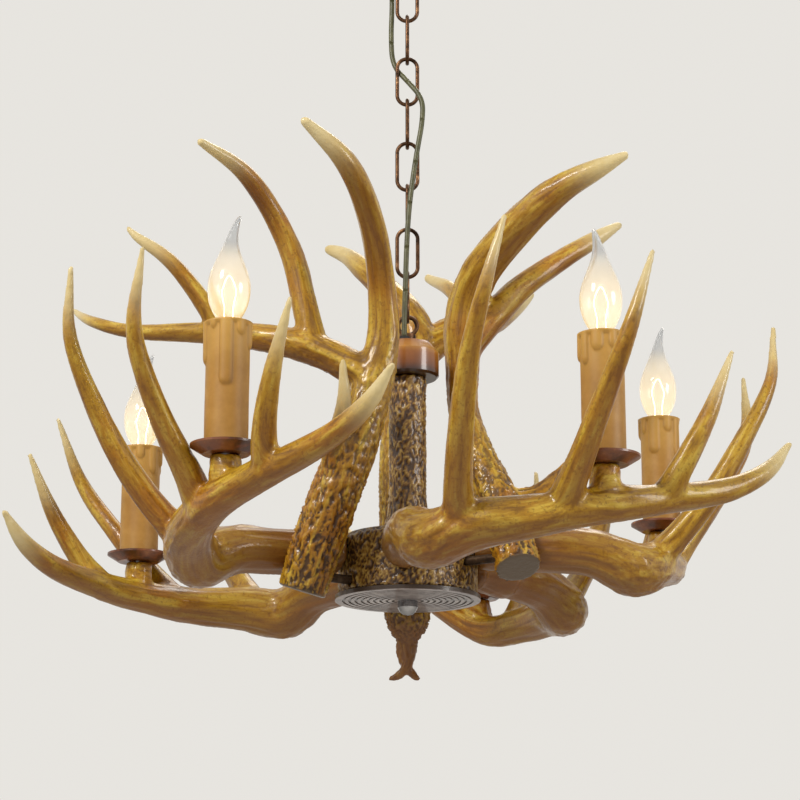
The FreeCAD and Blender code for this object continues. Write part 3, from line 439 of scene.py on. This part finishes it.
REAR_LINES = [
    [(38, 0, -35, 8.5), (38, 0, -24, 17), (38, 0, -6, 22), (38, 2, 21, 21.5), (39, 6, 71, 20), (41, 8, 121, 19),
     (43, 6, 171, 18.5), (42, -2, 219, 18), (39, -10, 249, 17.5), (44, -4, 279, 15.5), (62, 20, 313, 13),
     (78, 42, 339, 11), (93, 61, 359, 8), (103, 79, 369, 4.5)],
    [(41, -8, 241, 16), (51, -45, 269, 15), (78, -78, 283, 12.5), (123, -109, 314, 8), (138, -126, 333, 3.5)],
    [(64, -60, 276, 12.5), (86, -58, 303, 10.5), (108, -44, 328, 8), (123, -34, 339, 6.5), (138, -21, 350, 4.5)],
    [(38, -1, -31, 8.5), (37, -2, -47, 6), (37, 2, -59, 4.8), (38, 16, -69, 2.5)],
    [(38, 1, -33, 7), (40, 5, -49, 5), (40, -1, -60, 4.5), (38, -10, -69, 2.5)]]
HUB_SIDE = 62
TWIST_AXIS = -10
ANTLERS = {  # lines, azimuth, twist, rise of the bolt over the disc
    "lower_antler_1": (LOWER_LINES, -90, 0, 31), "lower_antler_2": (LOWER_LINES, -9.5, 1.6, 39),
    "lower_antler_3": (TURNED_LINES, 38, -10, 31), "lower_antler_4": (LOWER_LINES, 121.3, -7, 31),
    "lower_antler_5": (LOWER_LINES, -158.5, 1.6, 34), "upper_antler_1": (LEFT_LINES, -146, 0, 9),
    "upper_antler_2": (RIGHT_LINES, -31.5, 0, 26), "upper_antler_3": (REAR_LINES, 90, 0, 9)}
DISC_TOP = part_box("ring_disc")[1][2]


def placed(lines, azimuth, twist, rise):
    """An antler's lines in metres, turned and lifted to where it is bolted."""
    turn, lean = radians(azimuth), radians(twist)
    moved = []
    for stations in lines:
        reach, side, up, radius = np.array(stations, float).T
        side, up = (side * cos(lean) - (up - TWIST_AXIS) * sin(lean),
                    side * sin(lean) + (up - TWIST_AXIS) * cos(lean) + TWIST_AXIS)
        reach = reach + HUB_SIDE
        at_x = reach * cos(turn) - side * sin(turn)
        at_y = reach * sin(turn) + side * cos(turn)
        moved.append(np.stack([at_x, at_y, up + rise, radius], 1) / 1000 + (0, 0, DISC_TOP, 0))
    return moved


def eased_line(stations, steps=6):
    """The stations joined by a smooth line, in that many steps to each run."""
    padded = np.vstack([2 * stations[0] - stations[1], stations, 2 * stations[-1] - stations[-2]])
    t = np.arange(steps)[:, None] / steps
    runs = []
    for a, b, c, d in zip(padded, padded[1:], padded[2:], padded[3:]):
        runs.append(b + 0.5 * t * (c - a + t * (2 * a - 5 * b + 4 * c - d + t * (3 * (b - c) + d - a))))
    return np.vstack(runs + [stations[-1:]])


def along_lines(points, lines):
    """For each point: the way out from its beam or tine, and how near it is to that one's tip."""
    weight, heart, near_tip = 0, 0, 0
    for stations in lines:
        stations = eased_line(stations)
        best = np.full(len(points), 9.0)
        foot = np.zeros((len(points), 3))
        left = np.zeros(len(points))
        runs = np.linalg.norm(np.diff(stations[:, :3], axis=0), axis=1)
        for k, run in enumerate(runs):
            a, b = stations[k], stations[k + 1]
            share = np.clip(((points - a[:3]) @ (b - a)[:3]) / run**2, 0, 1)
            here = a[:3] + share[:, None] * (b - a)[:3]
            gap = np.linalg.norm(points - here, axis=1) - (a[3] + share * (b[3] - a[3]))
            closer = gap < best
            best = np.where(closer, gap, best)
            foot = np.where(closer[:, None], here, foot)
            left = np.where(closer, run * (1 - share) + runs[k + 1:].sum(), left)
        pull = np.exp(-np.maximum(best, -0.02) / 0.0035)
        weight = weight + pull
        heart = heart + foot * pull[:, None]
        near_tip = near_tip + np.clip(1 - left / 0.075, 0, 1) * pull
    return points - heart / weight[:, None], near_tip / weight


def even_copy(node, name, voxel=None, rounds=0):
    """A joined copy of a CAD node, with small even faces and softened forks where a voxel is given."""
    piece = bpy.data.objects.new(name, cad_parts[node].data.copy())
    bpy.context.collection.objects.link(piece)
    bpy.ops.object.select_all(action="DESELECT")
    bpy.context.view_layer.objects.active = piece
    piece.select_set(True)
    weld = piece.modifiers.new("weld", "WELD")
    weld.merge_threshold = 0.000002
    if voxel:
        even = piece.modifiers.new("even", "REMESH")
        even.mode = "VOXEL"
        even.voxel_size = voxel
        soft = piece.modifiers.new("soft", "SMOOTH")
        soft.factor, soft.iterations = 0.5, rounds
    for step in list(piece.modifiers):
        bpy.ops.object.modifier_apply(modifier=step.name)
    piece.data.materials.clear()
    return piece


def points_of(piece):
    """The mesh's points and normals as arrays."""
    where = np.empty(len(piece.data.vertices) * 3)
    piece.data.vertices.foreach_get("co", where)
    out = np.empty(len(where))
    piece.data.vertices.foreach_get("normal", out)
    return where.reshape(-1, 3), out.reshape(-1, 3)


def spread(piece, values, rounds):
    """The values evened out over the mesh, each point with its neighbours."""
    ends = np.empty(len(piece.data.edges) * 2, np.int32)
    piece.data.edges.foreach_get("vertices", ends)
    one, other = ends.reshape(-1, 2).T
    count = len(values)
    near = np.bincount(one, minlength=count) + np.bincount(other, minlength=count)
    for _ in range(rounds):
        values = np.stack([(np.bincount(one, column[other], count) + np.bincount(other, column[one], count)) / near
                           for column in values.T], 1)
    return values


def marked(piece, name, values):
    """Keeps values on the mesh for its material to read."""
    kind = "FLOAT_VECTOR" if values.ndim == 2 else "FLOAT"
    kept = piece.data.attributes.new(name, kind, "POINT")
    kept.data.foreach_set("vector" if kind == "FLOAT_VECTOR" else "value", values.astype(np.float32).ravel())


def burl(points, scale):
    """Worm-like ridges from 0 to 1, as on bark."""
    return np.array([1 - min(1, abs(noise.fractal(Vector(p) * scale, 1.0, 2.0, 3)) * 2.2) for p in points])


# The painted grain of the antlers: shades of gold and brown drawn out along the
# beam, with warm patches, fine pores, and the height of the streaks.
grain = bpy.data.node_groups.new("painted grain", "ShaderNodeTree")
for name, kind, value in (("Around", "NodeSocketVector", (0, 0, 0)), ("Streak Scale", "NodeSocketFloat", 26),
                          ("Stretch", "NodeSocketFloat", 7), ("Dark", "NodeSocketColor", (0.160, 0.062, 0.004, 1)),
                          ("Middle", "NodeSocketColor", (0.49, 0.270, 0.014, 1)),
                          ("Light", "NodeSocketColor", (0.76, 0.54, 0.070, 1)),
                          ("Warm", "NodeSocketColor", (0.42, 0.155, 0.004, 1))):
    grain.interface.new_socket(name, in_out="INPUT", socket_type=kind).default_value = value
for name, kind in (("Colour", "NodeSocketColor"), ("Height", "NodeSocketFloat")):
    grain.interface.new_socket(name, in_out="OUTPUT", socket_type=kind)
nodes, links = grain.nodes, grain.links
given, result = nodes.new("NodeGroupInput"), nodes.new("NodeGroupOutput")
place = nodes.new("ShaderNodeTexCoord").outputs["Object"]
pulled = nodes.new("ShaderNodeVectorMath")
pulled.operation = "SCALE"
links.new(given.outputs["Around"], pulled.inputs[0])
links.new(given.outputs["Stretch"], pulled.inputs["Scale"])
drawn_out = nodes.new("ShaderNodeVectorMath")
links.new(place, drawn_out.inputs[0])
links.new(pulled.outputs[0], drawn_out.inputs[1])
streak = noise_of(nodes, links, drawn_out.outputs[0], 1, 6)
links.new(given.outputs["Streak Scale"], streak.node.inputs["Scale"])
patch = noise_of(nodes, links, place, 10, 3)
pores = noise_of(nodes, links, place, 330, 3)
base = layered(nodes, links, ranged(nodes, links, patch, 0.44, 0.64, 0, 0.8), given.outputs["Middle"],
               given.outputs["Warm"])
base = layered(nodes, links, ranged(nodes, links, streak, 0.33, 0.50, 0.75, 0), base, given.outputs["Dark"])
base = layered(nodes, links, ranged(nodes, links, streak, 0.48, 0.68, 0, 0.8), base, given.outputs["Light"])
links.new(layered(nodes, links, ranged(nodes, links, pores, 0.32, 0.48, 0.5, 0), base, given.outputs["Dark"]),
          result.inputs["Colour"])
both = nodes.new("ShaderNodeMath")
both.operation = "MULTIPLY_ADD"
both.inputs[1].default_value = 0.45
links.new(pores, both.inputs[0])
links.new(streak, both.inputs[2])
links.new(both.outputs[0], result.inputs["Height"])


def attribute(nodes, name, kind="Fac"):
    """What was kept on the mesh under name."""
    made = nodes.new("ShaderNodeAttribute")
    made.attribute_name = name
    return made.outputs[kind]


antler_resin, nodes, links, shader = fresh_finish("lacquered antler resin")
streaks = nodes.new("ShaderNodeGroup")
streaks.node_tree = grain
links.new(attribute(nodes, "around", "Vector"), streaks.inputs["Around"])
# painted shade: the antlers' surfaces that face down are darkened to a deep orange-brown
normal_for_painted_shade = nodes.new("ShaderNodeSeparateXYZ")
links.new(nodes.new("ShaderNodeNewGeometry").outputs["Normal"], normal_for_painted_shade.inputs["Vector"])
colour = layered(nodes, links, ranged(nodes, links, normal_for_painted_shade.outputs["Z"], 0.15, -0.85, 0, 0.72),
                 streaks.outputs["Colour"], (0.20, 0.066, 0.006))
furrow = nodes.new("ShaderNodeMath")
furrow.operation = "MULTIPLY"
links.new(ranged(nodes, links, attribute(nodes, "relief"), 0.10, 0.72, 0.95, 0.0), furrow.inputs[0])
links.new(attribute(nodes, "burr"), furrow.inputs[1])
colour = layered(nodes, links, furrow.outputs[0], colour, (0.060, 0.024, 0.007))
# darker brown towards the hub on the lower antlers, partly a real stain at their butts and partly painted shade under
# their elbows; on the rear antler it darkens the root twigs
colour = layered(nodes, links, attribute(nodes, "stain_and_shade"), colour, (0.19, 0.072, 0.016))
colour = layered(nodes, links, attribute(nodes, "sawn"), colour, (0.115, 0.080, 0.050))
cream = layered(nodes, links, noise_of(nodes, links, nodes.new("ShaderNodeTexCoord").outputs["Object"], 60),
                (0.68, 0.50, 0.17), (0.88, 0.77, 0.47))
colour = layered(nodes, links, ranged(nodes, links, attribute(nodes, "tip"), 0.10, 0.85), colour, cream)
links.new(colour, shader.inputs["Base Color"])
relief(nodes, links, shader, streaks.outputs["Height"], 0.0013, 0.6)
shader.inputs["Roughness"].default_value = 0.40
shader.inputs["Specular IOR Level"].default_value = 0.30
shader.inputs["Coat Weight"].default_value = 0.40
shader.inputs["Coat Roughness"].default_value = 0.13

HIGH_RIDGE = 0.0013
HIGH_BURR = 0.0030
ROOTED = "upper_antler_3"  # the rear one, whose butt ends in two crossed root twigs
for node, (lines, azimuth, twist, rise) in ANTLERS.items():
    lines = placed(lines, azimuth, twist, rise)
    cast = even_copy(node, node + "_cast", 0.0017 if node == ROOTED else 0.0021, 4 if node == ROOTED else 7)
    where, out = points_of(cast)
    around, near_tip = along_lines(where, lines)
    around = spread(cast, around, 40)
    up = where[:, 2] - DISC_TOP
    if node.startswith("upper"):
        rough = np.clip(1 - (up - 0.05) / 0.20, 0, 1)
        root = np.clip((0.002 - up) / 0.02, 0, 1) if node == ROOTED else 0 * up
        # the rear antler's root twigs under the disc turn darker reddish brown
        stain_and_shade = 0.85 * root
        near_tip = near_tip * (1 - root)
        butt = (lines[0][1] - lines[0][0])[:3]
        butt = butt / np.linalg.norm(butt)
        sawn = np.clip(-(out @ butt) * 3 - 1.2, 0, 1) * np.clip(1.5 - (where - lines[0][0][:3]) @ butt / 0.012, 0, 1)
        sawn = sawn * (node != ROOTED)
    else:
        from_axis = np.hypot(where[:, 0], where[:, 1])
        rough = 0.35 * np.clip(1 - (from_axis - 0.075) / 0.05, 0, 1)
        # darker brown towards the hub: partly a real stain, partly painted shade under the elbows
        stain_and_shade = 0.75 * np.clip(1 - (from_axis - 0.13) / 0.13, 0, 1)
        sawn = 0 * up
    knotted = burl(where * 0.45 + around * 1.1, 190)
    ridge = np.array([noise.noise(Vector(p)) + 0.5 * noise.noise(Vector(p) * 2.6) for p in where * 18 + around * 150])
    thick = np.clip(np.linalg.norm(around, axis=1) / 0.014, 0.15, 1)
    high = (ridge * HIGH_RIDGE * (1 - rough) + (knotted - 0.75) * HIGH_BURR * rough) * thick
    where = where + out * (high * (1 - near_tip) * (1 - sawn))[:, None]
    cast.data.vertices.foreach_set("co", where.ravel())
    cast.data.shade_smooth()
    for name, values in (("around", around), ("tip", near_tip), ("burr", rough), ("relief", knotted),
                         ("stain_and_shade", stain_and_shade), ("sawn", sawn)):
        marked(cast, name, values)
    cast.data.materials.append(antler_resin)
    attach(cast, "lamp")
    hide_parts(node)

stained_zinc = mottled("stained zinc", 120, (0.035, 0.020, 0.012), (0.075, 0.045, 0.026), (0.16, 0.11, 0.07),
                       (0.40, 0.60), 0.0002, metal=0.8)
dress(stained_zinc, "antler_bolts")

# The hub and the stem: a drum and a flared tube cast with deep bark, its ridges
# rubbed gold and its furrows left dark brown, and the disc under the hub, cut
# with growth rings like a sawn trunk.
bark, nodes, links, shader = fresh_finish("gilded bark")
height = attribute(nodes, "relief")
tint = noise_of(nodes, links, nodes.new("ShaderNodeTexCoord").outputs["Object"], 140, 4)
tone = shades(nodes, links, height, (0.15, (0.070, 0.030, 0.008)), (0.42, (0.21, 0.100, 0.020)),
              (0.70, (0.42, 0.240, 0.045)), (0.95, (0.66, 0.46, 0.13)))
links.new(layered(nodes, links, 0.7, tone, shades(nodes, links, tint, (0.35, (0.45, 0.38, 0.30)), (0.62, (1, 1, 1))),
                  "MULTIPLY"), shader.inputs["Base Color"])
relief(nodes, links, shader, tint, 0.0011, 0.7)
shader.inputs["Roughness"].default_value = 0.42
shader.inputs["Coat Weight"].default_value = 0.4
shader.inputs["Coat Roughness"].default_value = 0.2
BARK_DEPTH = 0.0016
for node, scale, bare, bare_below in (("hub", (250, 250, 200), 0.0575, 0.05), ("stem", (300, 300, 120), 0.0135, 1)):
    # the bore stays smooth, out to bare from the axis and up to bare_below over the disc
    trunk = even_copy(node, node + "_bark", 0.0016, 2)
    where, out = points_of(trunk)
    ridges = burl(where * np.array(scale), 1.0)
    from_axis = np.hypot(where[:, 0], where[:, 1])
    outside = np.clip((from_axis - bare) / 0.002 + (where[:, 2] > DISC_TOP + bare_below), 0, 1)
    trunk.data.vertices.foreach_set("co", (where + out * ((ridges - 0.85) * BARK_DEPTH * outside)[:, None]).ravel())
    trunk.data.shade_smooth()
    marked(trunk, "relief", ridges)
    trunk.data.materials.append(bark)
    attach(trunk, "lamp")
    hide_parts(node)

sawn_disc = mottled("sawn disc resin", 70, (0.16, 0.125, 0.115), (0.28, 0.23, 0.215), (0.42, 0.36, 0.33),
                    (0.35, 0.55), 0.0004, coat=0.35)
nodes, links = sawn_disc.node_tree.nodes, sawn_disc.node_tree.links
painted = nodes["Principled BSDF"].inputs["Base Color"]
depth = nodes.new("ShaderNodeSeparateXYZ")
links.new(nodes.new("ShaderNodeTexCoord").outputs["Object"], depth.inputs["Vector"])
disc_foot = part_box("ring_disc")[0][2]
in_ring = ranged(nodes, links, depth.outputs["Z"], disc_foot + 0.0001, disc_foot + 0.0008)
links.new(layered(nodes, links, in_ring, painted.links[0].from_socket, (0.055, 0.036, 0.026)), painted)
dress(sawn_disc, "ring_disc")

# The candles: a dished tray in dark brown lacquer on each antler, and a moulded
# wax-coloured sleeve with runs of wax down from its rim over the lampholder.
tray_lacquer = mottled("dark tray lacquer", 50, (0.070, 0.019, 0.006), (0.19, 0.052, 0.012), (0.36, 0.13, 0.030),
                       (0.28, 0.45), 0.0003, coat=0.3)
dress(tray_lacquer, *[f"drip_tray_{k}" for k in range(1, 6)])

SLEEVE_RADIUS = 0.018
SLEEVE_TURNS = ((0.93, 0.0), (0.74, 0.0002), (0.74, 0.004), (0.86, 0.0045), (0.86, 0.107))
WAX_RUNS = [(0.3, 0.26, 0.034), (1.05, 0.20, 0.018), (1.7, 0.30, 0.046), (2.45, 0.22, 0.024), (3.1, 0.28, 0.038),
            (3.85, 0.20, 0.015), (4.5, 0.30, 0.050), (5.2, 0.24, 0.028), (5.85, 0.22, 0.020)]
wax, nodes, links, shader = fresh_finish("candle wax colour")
place = nodes.new("ShaderNodeTexCoord").outputs["Object"]
cloud = noise_of(nodes, links, place, 38, 4)
tone = shades(nodes, links, cloud, (0.35, (0.40, 0.195, 0.032)), (0.55, (0.49, 0.255, 0.052)),
              (0.75, (0.58, 0.33, 0.085)))
# painted light: the sleeve turns lighter and yellower towards its top, under the lit bulb
lit = ranged(nodes, links, attribute(nodes, "height"), 0.45, 1.0, 0, 0.5)
tone = layered(nodes, links, lit, tone, (0.74, 0.44, 0.10))
# painted shade: the edges of the wax runs are darkened to brown, where the raised runs would shade the sleeve
edge = nodes.new("ShaderNodeMapRange")
edge.inputs["From Min"].default_value, edge.inputs["From Max"].default_value = 0.02, 0.5
edge.inputs["To Min"].default_value, edge.inputs["To Max"].default_value = 0.5, 0.0
links.new(attribute(nodes, "run"), edge.inputs["Value"])
rim = nodes.new("ShaderNodeMath")
rim.operation = "MULTIPLY"
links.new(edge.outputs["Result"], rim.inputs[0])
links.new(attribute(nodes, "run_near"), rim.inputs[1])
links.new(layered(nodes, links, rim.outputs[0], tone, (0.20, 0.085, 0.022)), shader.inputs["Base Color"])
relief(nodes, links, shader, noise_of(nodes, links, place, 240, 3), 0.0003, 0.35)
shader.inputs["Roughness"].default_value = 0.5
shader.inputs["Subsurface Weight"].default_value = 0.08
shader.inputs["Subsurface Radius"].default_value = (0.004, 0.002, 0.001)

for number in range(1, 6):
    low, high = (Vector(corner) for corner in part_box(f"candle_sleeve_{number}"))
    centre = (low + high) / 2
    bpy.ops.object.select_all(action="DESELECT")
    bpy.ops.mesh.primitive_cylinder_add(vertices=128, radius=SLEEVE_RADIUS, depth=high.z - low.z,
                                        end_fill_type="NOTHING", location=centre)
    sleeve = bpy.context.object
    sleeve.name = f"wax_sleeve_{number}"
    bpy.ops.object.transform_apply(location=True, rotation=True, scale=True)
    bpy.ops.object.mode_set(mode="EDIT")
    bpy.ops.mesh.select_mode(type="EDGE")
    bpy.ops.mesh.select_all(action="DESELECT")
    shape = bmesh.from_edit_mesh(sleeve.data)
    for edge in shape.edges:
        edge.select_set(abs(edge.verts[0].co.z - edge.verts[1].co.z) > 0.01)
    bmesh.update_edit_mesh(sleeve.data)
    bpy.ops.mesh.subdivide(number_cuts=70)
    bpy.ops.mesh.select_all(action="DESELECT")
    shape = bmesh.from_edit_mesh(sleeve.data)
    for edge in shape.edges:
        if edge.is_boundary and edge.verts[0].co.z > centre.z:
            edge.select_set(True)
    bmesh.update_edit_mesh(sleeve.data)
    wide, deep = 1.0, 0.0
    for share, drop in SLEEVE_TURNS:
        bpy.ops.mesh.extrude_region_move(TRANSFORM_OT_translate={"value": (0, 0, deep - drop)})
        bpy.ops.transform.resize(value=(share / wide, share / wide, 1), center_override=centre)
        wide, deep = share, drop
    shape = bmesh.from_edit_mesh(sleeve.data)
    for edge in shape.edges:
        edge.select_set(edge.is_boundary)
    bmesh.update_edit_mesh(sleeve.data)
    bpy.ops.mesh.bridge_edge_loops()
    bpy.ops.mesh.select_all(action="SELECT")
    bpy.ops.mesh.normals_make_consistent(inside=False)
    bpy.ops.object.mode_set(mode="OBJECT")
    where, out = points_of(sleeve)
    around = np.arctan2(where[:, 1] - centre.y, where[:, 0] - centre.x) % (2 * pi)
    down = high.z - where[:, 2]
    radius = np.hypot(where[:, 0] - centre.x, where[:, 1] - centre.y)
    run = np.clip(1 - down / 0.004, 0, 1)
    for angle, width, reach in WAX_RUNS:
        turn = np.abs((around - angle - number * 1.3 + pi) % (2 * pi) - pi)
        reach = reach * (0.8 + 0.35 * sin(number * 2 + angle * 5))
        below = np.clip((down - reach + 0.006) / 0.006, 0, 1)
        across_run = np.clip(1 - (turn / width)**2 - below**2, 0, 1)
        run = np.maximum(run, np.sqrt(across_run))
    wall = radius > SLEEVE_RADIUS * 0.97
    lean = np.array([noise.noise(Vector((cos(a) * 1.2, sin(a) * 1.2, z * 25 + number)))
                     for a, z in zip(around, where[:, 2])])
    swell = np.where(wall, run * 0.0023 + lean * 0.0003 - 0.0002, 0)
    where[:, 0] += (where[:, 0] - centre.x) / radius * swell
    where[:, 1] += (where[:, 1] - centre.y) / radius * swell
    sleeve.data.vertices.foreach_set("co", where.ravel())
    sleeve.data.shade_smooth()
    marked(sleeve, "height", np.clip(1 - down / (high.z - low.z), 0, 1))
    marked(sleeve, "run", run)
    marked(sleeve, "run_near", np.where(run > 0.01, 1.0, 0.0))
    sleeve.data.materials.append(wax)
    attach(sleeve, "lamp")
    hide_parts(f"candle_sleeve_{number}")

# The bulbs: flame-shaped glass with a bent tip, 35 mm wide, lit by a small coiled
# filament on two posts, and a screw shell that turns in the lampholder.
shell_brass = mottled("nickel-brass shell", 120, (0.52, 0.43, 0.24), (0.60, 0.51, 0.31), (0.70, 0.61, 0.40),
                      (0.22, 0.40), 0.0002, metal=1.0, stretch=(1, 1, 6))
dress(shell_brass, *[f"bulb_base_{k}" for k in range(1, 6)])

lit_glass, nodes, links, shader = fresh_finish("lit bulb glass")
glow = attribute(nodes, "glow")
links.new(shades(nodes, links, glow, (0.0, (0, 0, 0)), (0.30, (0.006, 0.005, 0.003)), (0.60, (0.12, 0.085, 0.035)),
                 (0.85, (0.34, 0.24, 0.10))), shader.inputs["Emission Color"])
shader.inputs["Emission Strength"].default_value = 1.0
smoke = noise_of(nodes, links, nodes.new("ShaderNodeTexCoord").outputs["Object"], 50, 2)
links.new(shades(nodes, links, smoke, (0.3, (0.80, 0.81, 0.82)), (0.7, (0.88, 0.89, 0.90))),
          shader.inputs["Base Color"])
shader.inputs["Roughness"].default_value = 0.10
shader.inputs["IOR"].default_value = 1.45
shader.inputs["Transmission Weight"].default_value = 0.88
hot_wire, nodes, links, shader = fresh_finish("glowing filament")
heat = noise_of(nodes, links, nodes.new("ShaderNodeTexCoord").outputs["Object"], 300, 2)
links.new(shades(nodes, links, heat, (0.3, (1.0, 0.62, 0.25)), (0.7, (1.0, 0.80, 0.45))),
          shader.inputs["Emission Color"])
shader.inputs["Emission Strength"].default_value = 9.0
shader.inputs["Base Color"].default_value = (0.8, 0.6, 0.3, 1)
for number in range(1, 6):
    node = f"bulb_glass_{number}"
    flame = even_copy(node, f"flame_glass_{number}")
    bpy.ops.object.shade_smooth_by_angle(angle=radians(40))
    low, high = (Vector(corner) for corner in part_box(f"bulb_base_{number}"))
    axis, neck = (low + high) / 2, high.z
    where, out = points_of(flame)
    hot = np.array([axis.x, axis.y, neck + 0.030])
    apart = np.linalg.norm((where - hot) * (1, 1, 0.62), axis=1)
    marked(flame, "glow", np.clip(1.22 - apart / 0.030, 0, 1))
    flame.data.materials.append(lit_glass)
    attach(flame, f"bulb_{number}")
    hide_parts(node)
    coil = bpy.data.curves.new(f"filament_{number}", "CURVE")
    coil.dimensions = "3D"
    coil.bevel_depth = 0.00035
    coil.bevel_resolution = 2
    coil.use_fill_caps = True
    for lines in ([(-0.0035, 0, 0.001), (-0.0035, 0, 0.018), (-0.006, 0, 0.030)],
                  [(0.0035, 0, 0.001), (0.0035, 0, 0.018), (0.006, 0, 0.030)],
                  [(0.006 * cos(a) * (1 - 0.25 * sin(a)), 0.002 * sin(3 * a), 0.030 + 0.014 * sin(a)) for a in
                   (pi * n / 24 for n in range(25))]):
        wire = coil.splines.new("POLY")
        wire.points.add(len(lines) - 1)
        for point, (x, y, z) in zip(wire.points, lines):
            point.co = (axis.x + x, axis.y + y, neck + z, 1)
    drawn = bpy.data.objects.new("coil", coil)
    bpy.context.collection.objects.link(drawn)
    bpy.context.view_layer.update()
    filament = bpy.data.objects.new(f"filament_{number}", bpy.data.meshes.new_from_object(drawn))
    bpy.data.objects.remove(drawn)
    bpy.context.collection.objects.link(filament)
    filament.data.materials.clear()
    filament.data.materials.append(hot_wire)
    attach(filament, f"bulb_{number}")

size = {"cad": [list(corner) for corner in from_cad], "visual": [list(corner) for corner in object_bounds()]}
